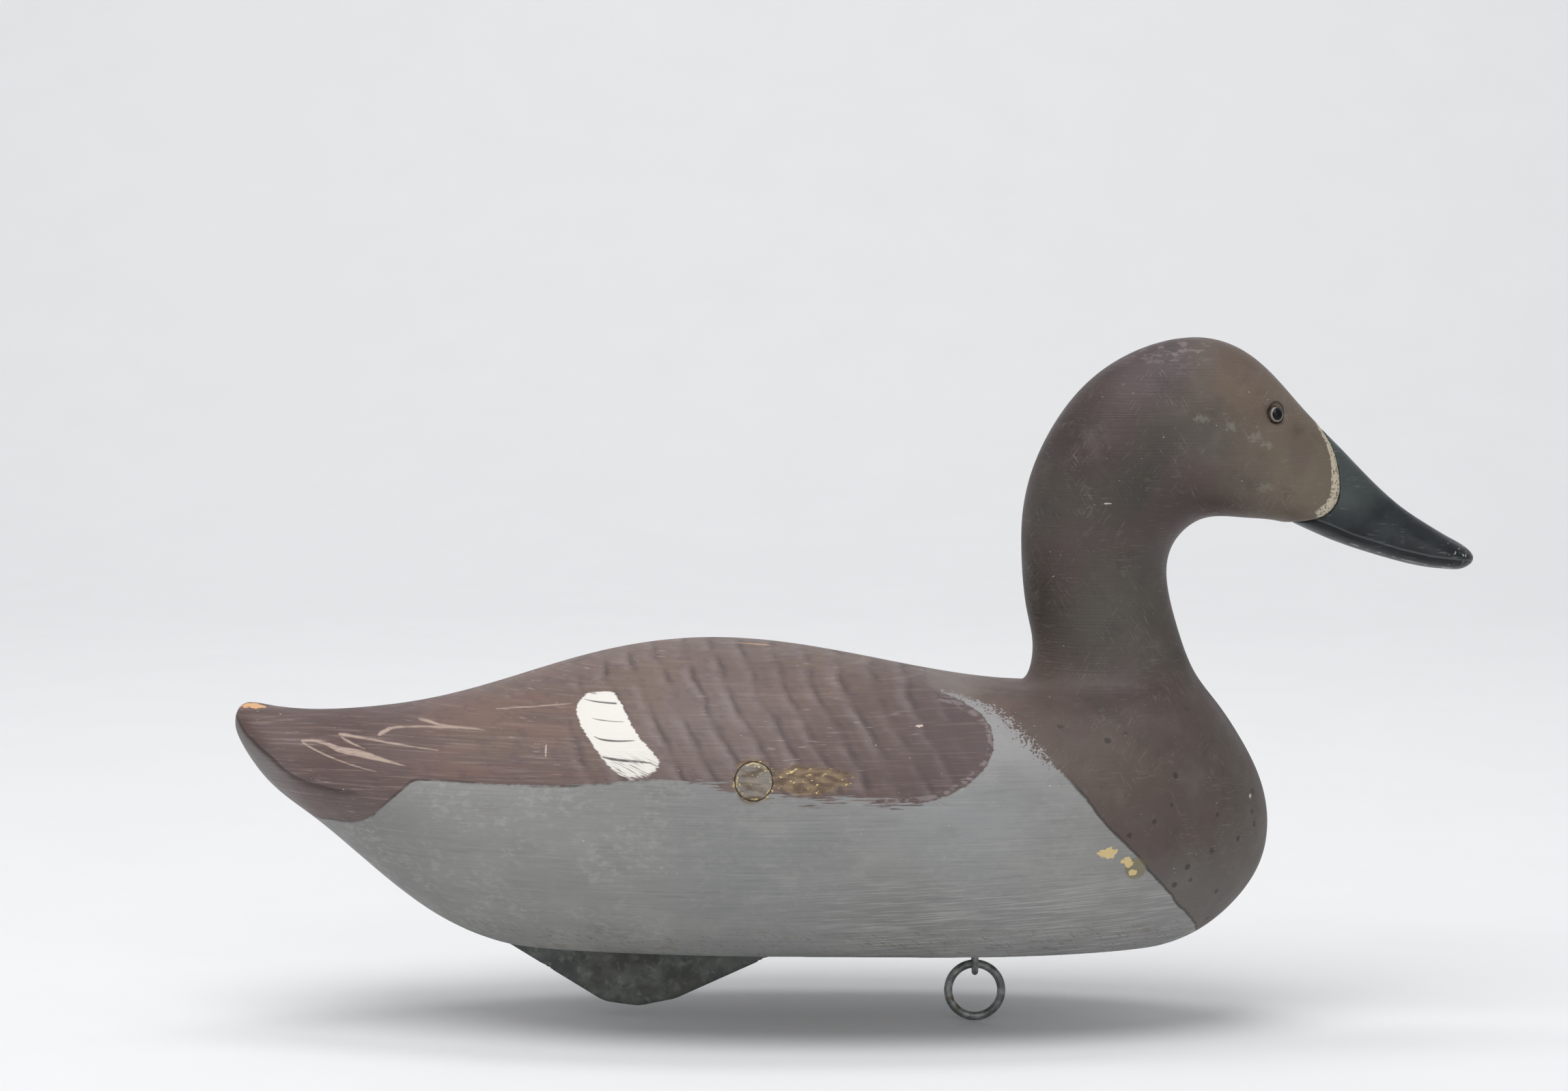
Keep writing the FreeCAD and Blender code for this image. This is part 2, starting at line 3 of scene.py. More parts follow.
import bmesh
import bpy
import numpy as np
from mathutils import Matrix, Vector
from mathutils.bvhtree import BVHTree


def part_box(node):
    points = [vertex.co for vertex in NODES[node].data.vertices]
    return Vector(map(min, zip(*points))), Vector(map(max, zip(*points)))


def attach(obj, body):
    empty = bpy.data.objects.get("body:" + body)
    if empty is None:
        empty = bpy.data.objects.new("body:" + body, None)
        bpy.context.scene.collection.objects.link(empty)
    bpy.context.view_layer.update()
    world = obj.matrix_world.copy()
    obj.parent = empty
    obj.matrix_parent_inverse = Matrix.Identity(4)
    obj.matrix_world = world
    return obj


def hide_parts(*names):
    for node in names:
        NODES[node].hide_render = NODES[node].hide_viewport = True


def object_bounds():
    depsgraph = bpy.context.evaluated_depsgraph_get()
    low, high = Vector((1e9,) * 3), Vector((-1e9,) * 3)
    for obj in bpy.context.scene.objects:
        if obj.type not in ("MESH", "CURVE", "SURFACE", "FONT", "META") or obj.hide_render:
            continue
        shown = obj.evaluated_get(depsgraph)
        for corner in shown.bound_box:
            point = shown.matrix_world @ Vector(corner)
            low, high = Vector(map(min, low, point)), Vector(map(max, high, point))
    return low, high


MM = 0.001
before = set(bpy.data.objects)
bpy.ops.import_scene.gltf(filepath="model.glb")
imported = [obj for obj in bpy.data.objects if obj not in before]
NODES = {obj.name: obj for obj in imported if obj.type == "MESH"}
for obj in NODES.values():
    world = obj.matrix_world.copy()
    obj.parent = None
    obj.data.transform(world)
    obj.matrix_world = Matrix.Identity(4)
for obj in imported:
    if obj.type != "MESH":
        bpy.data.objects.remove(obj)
CAD_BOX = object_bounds()

# ---------------------------------------------------------------- sizes, in metres
SKIN_GRID = 1.56 * MM
BILL_GRID = 0.8 * MM
KEEL_GRID = 0.9 * MM

# The head block stands on a flat seat; the neck is worked smooth ahead of NECK_EASE_FROM.
SEAT_BACK, _, SEAT_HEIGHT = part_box("neck_head")[0]
NECK_EASE_FROM = 110 * MM
NECK_EASE_REACH = 18 * MM
NECK_EASE_ROUNDS = 90

# The knot and the eyes sit in shallow seats pressed into the painted skins.
KNOT_AXIS = (np.array(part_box("knot_plug")[0]) + np.array(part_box("knot_plug")[1])) / 2
KNOT_RADIUS = (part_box("knot_plug")[1][0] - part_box("knot_plug")[0][0]) / 2
KNOT_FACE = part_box("knot_plug")[0][1]
KNOT_RECESS = 0.5 * MM
EYE_CENTRE = (209.5 * MM, 215.2 * MM)
EYE_OUT = 20.2 * MM
EYE_SEAT_RADIUS = 3.0 * MM
EYE_SEAT_DEPTH = 0.9 * MM
EYE_TURN = math.radians(26)
EYE_TILT = math.radians(19)

MANDIBLE_INSET = 0.55 * MM
KEEL_SIDE = 2.9 * MM
MOULD_WAVE = 0.12 * MM

# The photograph's viewpoint: right of the hull, looking slightly down. Lens and sensor in mm.
CAMERA_PLACE = (0.0128, -2.167, 0.358)
CAMERA_TILT = math.radians(90 - 5.2)
CAMERA_LENS = 123.55
SENSOR_WIDTH = 36.0

# The floor runs from front to back and sweeps up as a quarter circle behind the object.
FLOOR_HALF_WIDTH = 12.0
FLOOR_FRONT, SWEEP_START, SWEEP_TOP = -6.0, 1.6, 5.0
SWEEP_RADIUS = 1.4
SWEEP_STEPS = 12

# ---------------------------------------------------------------- paint outlines, side view, mm
BROWN_BACK = [
    (-220, 135), (-220, 40), (-171, 53), (-165, 52.5), (-159, 53), (-154, 54.5), (-151.5, 56),
    (-150, 58), (-146, 62), (-136.5, 70.5), (-134.5, 72.2), (-131, 72.8), (-108, 72.5),
    (-81, 71.8), (-54, 74), (-37, 76.5), (-13, 74), (13, 70), (36, 67.5), (64, 66), (79, 70),
    (90, 77), (95.5, 85), (95.5, 91.5), (92.5, 97), (87, 101), (79.5, 104), (73.5, 105.6),
    (73.5, 135),
]
BREAST = [
    (65, 135), (70.5, 106.6), (74.5, 105.5), (84.5, 103.4), (94.5, 100.2), (102, 95),
    (113, 84), (121, 78), (129, 70), (141, 55), (153, 43), (164, 29), (173, 18), (180, 8),
    (184, -20), (240, -20), (240, 300), (60, 300),
]
WING_PATCH = [
    (-69.5, 101), (-68, 104), (-65, 106.3), (-54.5, 107.5), (-52, 104), (-48.5, 98),
    (-44, 91), (-38.5, 86), (-35.5, 82), (-38.5, 78), (-46.5, 75.5), (-52.5, 77.5),
    (-58.5, 83), (-64.5, 90.5), (-68.5, 97),
]
MANDIBLE = [
    (222, 173.5), (232, 170), (241, 166), (260, 160), (273, 157), (289, 155), (296, 150),
    (296, 140), (200, 140), (200, 178),
]


def mesh_copy(name, nodes):
    """One loose mesh holding copies of several CAD nodes."""
    joined = bmesh.new()
    for node in nodes:
        joined.from_mesh(NODES[node].data)
    mesh = bpy.data.meshes.new(name)
    joined.to_mesh(mesh)
    joined.free()
    piece = bpy.data.objects.new(name, mesh)
    bpy.context.scene.collection.objects.link(piece)
    return piece


def apply_modifiers(piece):
    graph = bpy.context.evaluated_depsgraph_get()
    mesh = bpy.data.meshes.new_from_object(piece.evaluated_get(graph))
    piece.modifiers.clear()
    piece.data = mesh


def largest_shell(piece):
    """Keeps only the outer skin and drops the closed bores inside it."""
    work = bmesh.new()
    work.from_mesh(piece.data)
    work.verts.ensure_lookup_table()
    label = [-1] * len(work.verts)
    shells = []
    for seed in work.verts:
        if label[seed.index] >= 0:
            continue
        shell = [seed]
        label[seed.index] = len(shells)
        for vert in shell:
            for edge in vert.link_edges:
                other = edge.other_vert(vert)
                if label[other.index] < 0:
                    label[other.index] = len(shells)
                    shell.append(other)
        shells.append(shell)
    shells.sort(key=len)
    for shell in shells[:-1]:
        bmesh.ops.delete(work, geom=shell, context="VERTS")
    work.to_mesh(piece.data)
    work.free()


def skin(name, nodes, grid):
    """An even, smooth skin over CAD nodes: remeshed, then drawn back onto their surface."""
    source = mesh_copy(name + "_source", nodes)
    piece = mesh_copy(name, nodes)
    remesh = piece.modifiers.new("grid", "REMESH")
    remesh.mode = "VOXEL"
    remesh.voxel_size = grid
    apply_modifiers(piece)
    largest_shell(piece)
    wrap = piece.modifiers.new("wrap", "SHRINKWRAP")
    wrap.target = source
    ease = piece.modifiers.new("ease", "SMOOTH")
    ease.factor = 0.5
    ease.iterations = 4
    apply_modifiers(piece)
    bpy.data.objects.remove(source)
    for polygon in piece.data.polygons:
        polygon.use_smooth = True
    return piece


def points_of(piece):
    flat = np.empty(len(piece.data.vertices) * 3)
    piece.data.vertices.foreach_get("co", flat)
    return flat.reshape(-1, 3)


def signed_distance(points, outline):
    """Side-view distance in mm to a closed outline, positive inside."""
    xz = points[:, [0, 2]] / MM
    corners = np.array(outline, float)
    nearest = np.full(len(xz), 1e9)
    inside = np.zeros(len(xz), bool)
    for a, b in zip(corners, np.roll(corners, -1, axis=0)):
        edge = b - a
        along = np.clip(((xz - a) @ edge) / (edge @ edge), 0, 1)
        nearest = np.minimum(nearest, np.linalg.norm(xz - a - along[:, None] * edge, axis=1))
        crosses = (a[1] > xz[:, 1]) != (b[1] > xz[:, 1])
        rise = b[1] - a[1] if b[1] != a[1] else 1e-9
        reach = a[0] + (xz[:, 1] - a[1]) / rise * edge[0]
        inside ^= crosses & (xz[:, 0] < reach)
    return np.where(inside, nearest, -nearest)


def rounded(outline, rounds=2):
    """Corner-cut copy of an outline, so painted edges run in smooth curves."""
    points = [np.array(p, float) for p in outline]
    for _ in range(rounds):
        cut = []
        for a, b in zip(points, points[1:] + points[:1]):
            cut += [a * 0.75 + b * 0.25, a * 0.25 + b * 0.75]
        points = cut
    return points


def paint_mask(piece, name, outline):
    layer = piece.data.attributes.new(name, "FLOAT", "POINT")
    layer.data.foreach_set("value", signed_distance(points_of(piece), rounded(outline)))


def ease_neck(piece):
    """Works the front and sides of the neck smoothly into the breast, as the knife left them."""
    points = points_of(piece)
    edges = np.empty(len(piece.data.edges) * 2, int)
    piece.data.edges.foreach_get("vertices", edges)
    a, b = edges.reshape(-1, 2).T
    count = np.bincount(np.concatenate([a, b]), minlength=len(points))[:, None]
    forward = np.clip((points[:, 0] - NECK_EASE_FROM) / NECK_EASE_REACH, 0, 1)
    level = np.exp(-(((points[:, 2] - SEAT_HEIGHT) / NECK_EASE_REACH) ** 2))
    share = (forward * level)[:, None]
    for _ in range(NECK_EASE_ROUNDS):
        total = np.zeros_like(points)
        np.add.at(total, a, points[b])
        np.add.at(total, b, points[a])
        points += 0.7 * share * (total / count - points)
    set_points(piece, points)


def sink(piece, centre, facing, radius, depth, reach=12 * MM):
    """Presses a round patch of a skin inwards, so a separate piece shows in it."""
    points = points_of(piece)
    facing = np.array(facing) / np.linalg.norm(facing)
    offset = points - np.array(centre)
    along = offset @ facing
    aside = np.linalg.norm(offset - along[:, None] * facing, axis=1)
    chosen = (aside < radius) & (np.abs(along) < reach)
    points[chosen] -= depth * facing
    set_points(piece, points)


def set_points(piece, points):
    piece.data.vertices.foreach_set("co", points.astype(np.float32).ravel())
    piece.data.update()


def split_at_seat(piece, keep_head):
    """Keeps the head block or the body block of the whole skin, closed at the seat between them."""
    work = bmesh.new()
    work.from_mesh(piece.data)
    for place, normal in (((0, 0, SEAT_HEIGHT), (0, 0, 1)), ((SEAT_BACK, 0, 0), (1, 0, 0))):
        geometry = work.verts[:] + work.edges[:] + work.faces[:]
        bmesh.ops.bisect_plane(work, geom=geometry, plane_co=place, plane_no=normal)
    unwanted = []
    for face in work.faces:
        middle = face.calc_center_median()
        in_head = middle.x > SEAT_BACK and middle.z > SEAT_HEIGHT
        if in_head != keep_head:
            unwanted.append(face)
    bmesh.ops.delete(work, geom=unwanted, context="FACES")
    rim = [edge for edge in work.edges if edge.is_boundary]
    for edge in rim:
        edge.smooth = False
    bmesh.ops.holes_fill(work, edges=rim, sides=0)
    work.to_mesh(piece.data)
    work.free()


def blend_of(points, anchors, power=3):
    """Colour at each point, blended between a few side-view places that each have a colour."""
    xz = points[:, [0, 2]] / MM
    total = np.zeros((len(xz), 3))
    weight = np.zeros(len(xz))
    for x, z, colour in anchors:
        near = 1 / (np.hypot(xz[:, 0] - x, xz[:, 1] - z) + 4) ** power
        total += near[:, None] * np.array(colour)
        weight += near
    return total / weight[:, None]


def tint(piece, name, anchors):
    colours = blend_of(points_of(piece), anchors)
    layer = piece.data.attributes.new(name, "FLOAT_COLOR", "POINT")
    full = np.ones((len(colours), 4))
    full[:, :3] = colours
    layer.data.foreach_set("color", full.ravel())


def distance_to(piece, name, node):
    """Distance in mm from each point of a skin to a CAD node."""
    source = bmesh.new()
    source.from_mesh(NODES[node].data)
    tree = BVHTree.FromBMesh(source)
    reach = 30 * MM
    values = []
    for point in points_of(piece):
        found = tree.find_nearest(Vector(point), reach)
        values.append((found[3] if found[3] is not None else reach) / MM)
    source.free()
    piece.data.attributes.new(name, "FLOAT", "POINT").data.foreach_set("value", values)


# ---------------------------------------------------------------- shading helpers
class Paint:
    """One node material, built with short calls. Lengths are in mm, colours are linear."""

    def __init__(self, name, roughness=0.5, metallic=0.0, specular=0.5):
        self.material = bpy.data.materials.new(name)
        self.material.use_nodes = True
        self.tree = self.material.node_tree
        self.shader = self.tree.nodes["Principled BSDF"]
        self.shader.inputs["Roughness"].default_value = roughness
        self.shader.inputs["Metallic"].default_value = metallic
        self.shader.inputs["Specular IOR Level"].default_value = specular
        place = self.add("TexCoord").outputs["Object"]
        self.place = self.vector("SCALE", place, scale=1 / MM)
        split = self.add("SeparateXYZ")
        self.feed(split.inputs[0], self.place)
        self.x, self.y, self.z = split.outputs

    def add(self, kind, **settings):
        node = self.tree.nodes.new("ShaderNode" + kind)
        for key, value in settings.items():
            setattr(node, key, value)
        return node

    def feed(self, socket, value):
        if isinstance(value, bpy.types.NodeSocket):
            self.tree.links.new(value, socket)
        elif socket.type == "RGBA":
            socket.default_value = (*value, 1)
        else:
            socket.default_value = value

    def vector(self, operation, a, b=None, scale=None):
        node = self.add("VectorMath", operation=operation)
        self.feed(node.inputs[0], a)
        if b is not None:
            self.feed(node.inputs[1], b)
        if scale is not None:
            self.feed(node.inputs["Scale"], scale)
        return node.outputs["Value" if operation == "LENGTH" else "Vector"]

    def math(self, operation, a, b=0.0, clamp=False):
        node = self.add("Math", operation=operation, use_clamp=clamp)
        self.feed(node.inputs[0], a)
        self.feed(node.inputs[1], b)
        return node.outputs[0]

    def plus(self, a, b):
        return self.math("ADD", a, b)

    def minus(self, a, b):
        return self.math("SUBTRACT", a, b)

    def times(self, a, b):
        return self.math("MULTIPLY", a, b)

    def ramp(self, value, low, high, start=0.0, end=1.0):
        """0 to 1 (or start to end) as the value goes from low to high, with soft ends."""
        node = self.add("MapRange", interpolation_type="SMOOTHSTEP")
        for socket, number in zip(node.inputs, (value, low, high, start, end)):
            self.feed(socket, number)
        return node.outputs[0]

    def band(self, value, low, high, soft):
        """1 between low and high."""
        rise = self.ramp(value, low - soft, low + soft)
        return self.times(rise, self.ramp(value, high - soft, high + soft, 1.0, 0.0))

    def mix(self, share, a, b, mode="MIX"):
        node = self.add("Mix", data_type="RGBA", blend_type=mode)
        self.feed(node.inputs[0], share)
        self.feed(node.inputs[6], a)
        self.feed(node.inputs[7], b)
        return node.outputs[2]

    def noise(self, size, seed=0.0, detail=3.0, roughness=0.5, lean=0.0):
        """Noise from about 0.25 to 0.75, whose lumps have this size in X, Y and Z.

        lean turns the lumps in the side view, in degrees, falling towards the bill.
        """
        if not isinstance(size, tuple):
            size = (size, size, size)
        place = self.place
        if lean:
            turn = self.add("VectorRotate", rotation_type="Y_AXIS")
            self.feed(turn.inputs["Vector"], place)
            turn.inputs["Angle"].default_value = math.radians(-lean)
            place = turn.outputs[0]
        place = self.vector("MULTIPLY", place, tuple(1 / s for s in size))
        place = self.vector("ADD", place, (seed, seed * 1.7, -seed))
        node = self.add("TexNoise")
        self.feed(node.inputs["Vector"], place)
        node.inputs["Scale"].default_value = 1.0
        node.inputs["Detail"].default_value = detail
        node.inputs["Roughness"].default_value = roughness
        return node.outputs["Fac"]

    def wobble(self, value, size, amount, seed=0.0, detail=3.0):
        """The value with noise of about plus or minus this amount added."""
        noise = self.minus(self.noise(size, seed, detail), 0.5)
        return self.plus(value, self.times(noise, 4 * amount))

    def layer(self, name, kind="Fac"):
        """A value or colour stored on the skin's points."""
        return self.add("Attribute", attribute_name=name).outputs[kind]

    def spot(self, centre, radii):
        """Distance from a place as a share of its radii; a radius of None is endless."""
        offset = self.vector("SUBTRACT", self.place, centre)
        scale = tuple(1 / r if r else 0.0 for r in radii)
        return self.vector("LENGTH", self.vector("MULTIPLY", offset, scale))

    def over_x(self, points, column):
        """A value that runs smoothly through a few points as X grows."""
        first, last = points[0][0], points[-1][0]
        values = [point[column] for point in points]
        spare = 0.2 * (max(values) - min(values)) + 0.1
        low, span = min(values) - spare, max(values) - min(values) + 2 * spare
        node = self.add("FloatCurve")
        curve = node.mapping.curves[0]
        while len(curve.points) < len(points):
            curve.points.new(0.5, 0.5)
        for knot, point in zip(curve.points, points):
            knot.location = ((point[0] - first) / (last - first), (point[column] - low) / span)
        node.mapping.update()
        along = self.math("DIVIDE", self.minus(self.x, first), last - first, clamp=True)
        self.feed(node.inputs["Value"], along)
        return self.plus(self.times(node.outputs[0], span), low)

    def stroke(self, points, soft=0.3, brushed=0.15):
        """A brush stroke through side-view points, each with its breadth."""
        first, last = points[0][0], points[-1][0]
        off = self.math("ABSOLUTE", self.minus(self.z, self.over_x(points, 1)))
        off = self.wobble(off, (8, 8, 0.6), brushed, seed=first)
        half = self.times(self.over_x(points, 2), 0.5)
        within = self.ramp(self.minus(half, off), -soft, soft)
        start = self.ramp(self.x, first - 0.4, first + 0.4)
        ends = self.times(start, self.ramp(self.x, last + 0.4, last - 1))
        return self.times(within, ends)

    def near_side(self):
        """1 on the right side of the decoy, the one that the photograph shows."""
        return self.ramp(self.y, -5, -9)

    def finish(self, colour, roughness=None, height=None, depth=0.3):
        self.feed(self.shader.inputs["Base Color"], colour)
        if roughness is not None:
            self.feed(self.shader.inputs["Roughness"], roughness)
        if height is not None:
            bump = self.add("Bump")
            bump.inputs["Strength"].default_value = 1.0
            bump.inputs["Distance"].default_value = depth * MM
            self.feed(bump.inputs["Height"], height)
            self.feed(self.shader.inputs["Normal"], bump.outputs[0])
        return self.material


def use(piece, material):
    piece.data.materials.clear()
    piece.data.materials.append(material)


# ---------------------------------------------------------------- paint colours at side-view places
GREY = [
    (-160, 30, (0.200, 0.200, 0.193)), (-110, 55, (0.245, 0.242, 0.232)),
    (-60, 22, (0.232, 0.232, 0.222)), (0, 45, (0.204, 0.206, 0.203)),
    (60, 20, (0.195, 0.195, 0.188)), (85, 60, (0.246, 0.248, 0.248)),
    (90, 98, (0.285, 0.277, 0.280)), (130, 35, (0.215, 0.215, 0.208)),
]
BROWN = [
    (-200, 92, (0.100, 0.062, 0.056)), (-200, 70, (0.150, 0.118, 0.110)),
    (-160, 62, (0.120, 0.088, 0.082)), (-165, 88, (0.092, 0.053, 0.047)),
    (-135, 78, (0.115, 0.079, 0.074)), (-100, 90, (0.163, 0.111, 0.088)),
    (-95, 77, (0.125, 0.088, 0.082)), (-40, 114, (0.165, 0.116, 0.096)),
    (-20, 96, (0.146, 0.108, 0.100)), (40, 92, (0.104, 0.071, 0.064)),
    (78, 85, (0.092, 0.064, 0.062)), (30, 116, (0.150, 0.104, 0.086)),
]
DARK = [
    (82, 107, (0.165, 0.135, 0.120)), (98, 100, (0.118, 0.080, 0.068)),
    (115, 98, (0.092, 0.066, 0.058)), (140, 80, (0.092, 0.068, 0.060)),
    (165, 60, (0.083, 0.063, 0.054)), (165, 22, (0.112, 0.102, 0.090)),
    (145, 106, (0.062, 0.050, 0.043)), (138, 132, (0.072, 0.062, 0.052)),
    (160, 143, (0.076, 0.066, 0.056)), (113, 145, (0.046, 0.038, 0.030)),
    (116, 178, (0.066, 0.056, 0.048)), (134, 204, (0.052, 0.037, 0.035)),
    (160, 236, (0.056, 0.039, 0.041)), (160, 188, (0.041, 0.035, 0.028)),
    (180, 205, (0.070, 0.060, 0.050)), (200, 192, (0.110, 0.088, 0.067)),
    (216, 188, (0.143, 0.115, 0.082)), (198, 226, (0.125, 0.089, 0.064)),
    (212, 212, (0.135, 0.103, 0.076)), (184, 174, (0.050, 0.031, 0.026)),
]
WHITE = (0.75, 0.715, 0.67)
CREAM = (0.41, 0.31, 0.255)
WORN_CREAM = (0.48, 0.42, 0.32)
OCHRE = (0.62, 0.47, 0.22)
BARE_WOOD = (0.745, 0.42, 0.20)
CRACK = (0.015, 0.012, 0.010)
SHADOW_LINE = (0.030, 0.021, 0.019)
PATCH_STROKE = (0.035, 0.033, 0.035)
STAIN = (0.030, 0.024, 0.022)
OLIVE = (0.16, 0.13, 0.045)

# The feather bars across the back: spacing, and lean in mm along for each mm up.
BAR_PITCH = 11.8
BAR_LEAN = 0.55

# Brush strokes: along, up and breadth at a few places, from the tail forward.
CREAM_STROKES = [
    [(-180.5, 84.9, 0.8), (-174, 84.8, 0.9), (-164, 82.1, 2.1), (-156, 81.0, 2.4),
     (-149, 79.6, 1.6), (-137, 77.2, 0.1)],
    [(-180, 84.2, 0.6), (-171.5, 80.5, 0.5), (-161, 77.2, 0.4), (-149, 74.6, 0.1)],
    [(-165.6, 87.6, 0.4), (-162, 87.2, 0.9), (-151, 86, 0.6), (-137, 84.5, 0.5), (-124, 83.5, 0.1)],
    [(-164.4, 86.6, 0.7), (-161.5, 85.2, 0.7), (-154, 82.7, 0.1)],
    [(-149.4, 87.8, 0.8), (-147, 88.9, 1.5), (-143.5, 90.2, 0.8), (-135, 91, 0.5),
     (-126, 91.4, 0.7), (-106, 91.6, 0.1)],
    [(-133.6, 93.4, 0.6), (-130, 93.1, 0.8), (-124, 92.2, 0.6), (-108, 91.8, 0.1)],
    [(-102, 98.8, 0.1), (-92, 99.9, 0.4), (-71, 102.5, 0.2)],
]
PATCH_STROKES = [
    [(-66.5, 104.2, 0.1), (-60, 103.4, 0.5), (-53, 103.2, 0.6)],
    [(-63, 97.8, 0.1), (-57, 97.0, 0.3), (-50, 96.9, 0.1)],
    [(-62, 91.3, 0.1), (-55, 89.9, 0.7), (-45.5, 90.2, 0.1)],
    [(-59, 84, 0.1), (-52, 82.9, 1.0), (-43, 82.4, 0.7), (-38, 81.8, 0.1)],
]
TAIL_CHINE = [(-209, 94.5), (-203, 87), (-193, 79), (-182, 71), (-168, 67.5), (-150, 67)]


# ---------------------------------------------------------------- painted wood
def flank_colour(paint):
    base = paint.layer("grey", "Color")

    # brush marks along the flank
    brush = paint.noise((22, 22, 0.8), seed=2, detail=5)
    where = paint.ramp(paint.noise((30, 30, 14), seed=3), 0.35, 0.65, 0.25, 1.0)
    lift = paint.times(paint.ramp(brush, 0.5, 0.72), paint.times(where, 0.30))
    base = paint.mix(lift, base, (0.33, 0.335, 0.325))
    drop = paint.times(paint.ramp(brush, 0.48, 0.3), paint.times(where, 0.26))
    base = paint.mix(drop, base, (0.12, 0.12, 0.118))

    # cloudy wear, with rubbed places towards the tail
    cloud = paint.noise((34, 34, 22), seed=5, detail=5, roughness=0.6)
    base = paint.mix(paint.ramp(cloud, 0.5, 0.7, 0, 0.3), base, (0.31, 0.31, 0.29))
    base = paint.mix(paint.ramp(cloud, 0.46, 0.3, 0, 0.3), base, (0.145, 0.148, 0.140))
    scuff = paint.ramp(paint.noise((4, 4, 2.2), seed=6, detail=5, roughness=0.6), 0.46, 0.66)
    worn = paint.ramp(paint.x, 0, -70, 0.3, 1.0)
    worn = paint.times(worn, paint.ramp(paint.noise(22, seed=7), 0.38, 0.56))
    base = paint.mix(paint.times(scuff, paint.times(worn, 0.48)), base, (0.35, 0.35, 0.315))

    # combed lines low on the front
    low = paint.times(paint.ramp(paint.x, -20, 60), paint.ramp(paint.z, 45, 25))
    combed = paint.ramp(paint.noise((22, 22, 0.45), seed=8, detail=3, lean=-3), 0.50, 0.62)
    base = paint.mix(paint.times(combed, paint.times(low, 0.6)), base, (0.36, 0.365, 0.35))

    # short cracks and brown blotches near the bottom
    cracks = paint.ramp(paint.noise((5, 5, 0.35), seed=9, detail=2, lean=32), 0.645, 0.67)
    cracks = paint.times(cracks, paint.ramp(paint.z, 20, 8))
    base = paint.mix(paint.times(cracks, 0.75), base, (0.035, 0.034, 0.032))
    blotch = paint.ramp(paint.noise((8, 8, 3), seed=10, detail=4), 0.62, 0.7)
    blotch = paint.times(blotch, paint.ramp(paint.z, 26, 8))
    return paint.mix(paint.times(blotch, 0.45), base, (0.19, 0.145, 0.095))


def saddle_bars(paint):
    """How dark the feather bars painted on the back are, and the painted highlight beside each bar.
    """
    lean = paint.times(paint.minus(paint.z, 90), BAR_LEAN)
    along = paint.plus(paint.x, lean)
    along = paint.wobble(along, (36, 36, 30), 2.4, seed=11)
    along = paint.wobble(along, 6, 0.7, seed=12)
    phase = paint.math("FRACT", paint.math("DIVIDE", along, BAR_PITCH))
    dark = paint.times(paint.ramp(phase, 0.0, 0.12), paint.ramp(phase, 0.38, 0.10))
    # light: a painted highlight on the side of each bar away from its dark edge
    light = paint.times(paint.ramp(phase, 0.5, 0.85), paint.ramp(phase, 1.0, 0.9))
    saddle = paint.times(paint.ramp(paint.x, -78, -62), paint.ramp(paint.x, 92, 60))
    patchy = paint.ramp(paint.noise((16, 16, 11), seed=13), 0.36, 0.64)
    share = paint.times(saddle, paint.plus(0.12, paint.times(patchy, 0.88)))
    return paint.times(dark, share), paint.times(light, share)


def back_colour(paint):
    base = paint.layer("brown", "Color")

    # long brush streaks, strongest over the tail
    streak = paint.noise((26, 26, 0.8), seed=21, detail=5)
    long = paint.ramp(paint.x, -40, -90, 0.5, 1.0)
    lift = paint.times(paint.ramp(streak, 0.5, 0.72), paint.times(long, 0.34))
    base = paint.mix(lift, base, (0.34, 0.25, 0.23))
    drop = paint.times(paint.ramp(streak, 0.48, 0.3), paint.times(long, 0.34))
    base = paint.mix(drop, base, (0.09, 0.062, 0.058))
    red = paint.band(paint.x, -135, -62, 14)
    red = paint.times(red, paint.ramp(paint.noise((40, 40, 5), seed=23), 0.42, 0.62, 0, 0.45))
    base = paint.mix(red, base, (0.20, 0.115, 0.095))

    dark, light = saddle_bars(paint)
    # painted highlight beside each feather bar, then the dark bars themselves
    base = paint.mix(paint.times(light, 0.26), base, (0.29, 0.245, 0.255))
    base = paint.mix(paint.times(dark, 0.68), base, (0.052, 0.038, 0.040))

    # short purple dabs and thin pale streaks along the grain
    dabs = paint.ramp(paint.noise((7, 7, 3), seed=14, detail=4, lean=20), 0.52, 0.66)
    base = paint.mix(paint.times(dabs, 0.3), base, (0.085, 0.060, 0.072))
    worn = paint.ramp(paint.noise((9, 9, 0.7), seed=24, detail=4), 0.62, 0.72)
    worn = paint.times(worn, paint.ramp(paint.noise(30, seed=25), 0.42, 0.58))
    return paint.mix(paint.times(worn, 0.5), base, (0.36, 0.30, 0.29))


def breast_colour(paint):
    base = paint.layer("dark", "Color")
    cloud = paint.noise(20, seed=31, detail=5, roughness=0.6)
    base = paint.mix(paint.ramp(cloud, 0.5, 0.72, 0, 0.30), base, (0.150, 0.128, 0.112))
    base = paint.mix(paint.ramp(cloud, 0.48, 0.3, 0, 0.35), base, (0.034, 0.027, 0.024))

    # fine scratches in three directions
    for lean, seed in ((0, 33), (-55, 38), (60, 44)):
        rub = paint.ramp(paint.noise((6, 6, 0.5), seed=seed, detail=3, lean=lean), 0.58, 0.70)
        where = paint.ramp(paint.noise(18, seed=seed + 1), 0.47, 0.62)
        scratches = paint.times(paint.times(rub, where), 0.34)
        base = paint.mix(scratches, base, (0.20, 0.185, 0.165))

    # paint worn off the crown, and purple clouds
    crown = paint.times(paint.ramp(paint.z, 232, 240), paint.band(paint.x, 150, 182, 6))
    pale = paint.ramp(paint.noise((4, 4, 1.6), seed=47, detail=4), 0.5, 0.62)
    base = paint.mix(paint.times(paint.times(crown, pale), 0.4), base, (0.26, 0.21, 0.21))
    purple = paint.ramp(paint.noise(30, seed=36), 0.5, 0.65, 0, 0.3)
    return paint.mix(purple, base, (0.085, 0.052, 0.054))


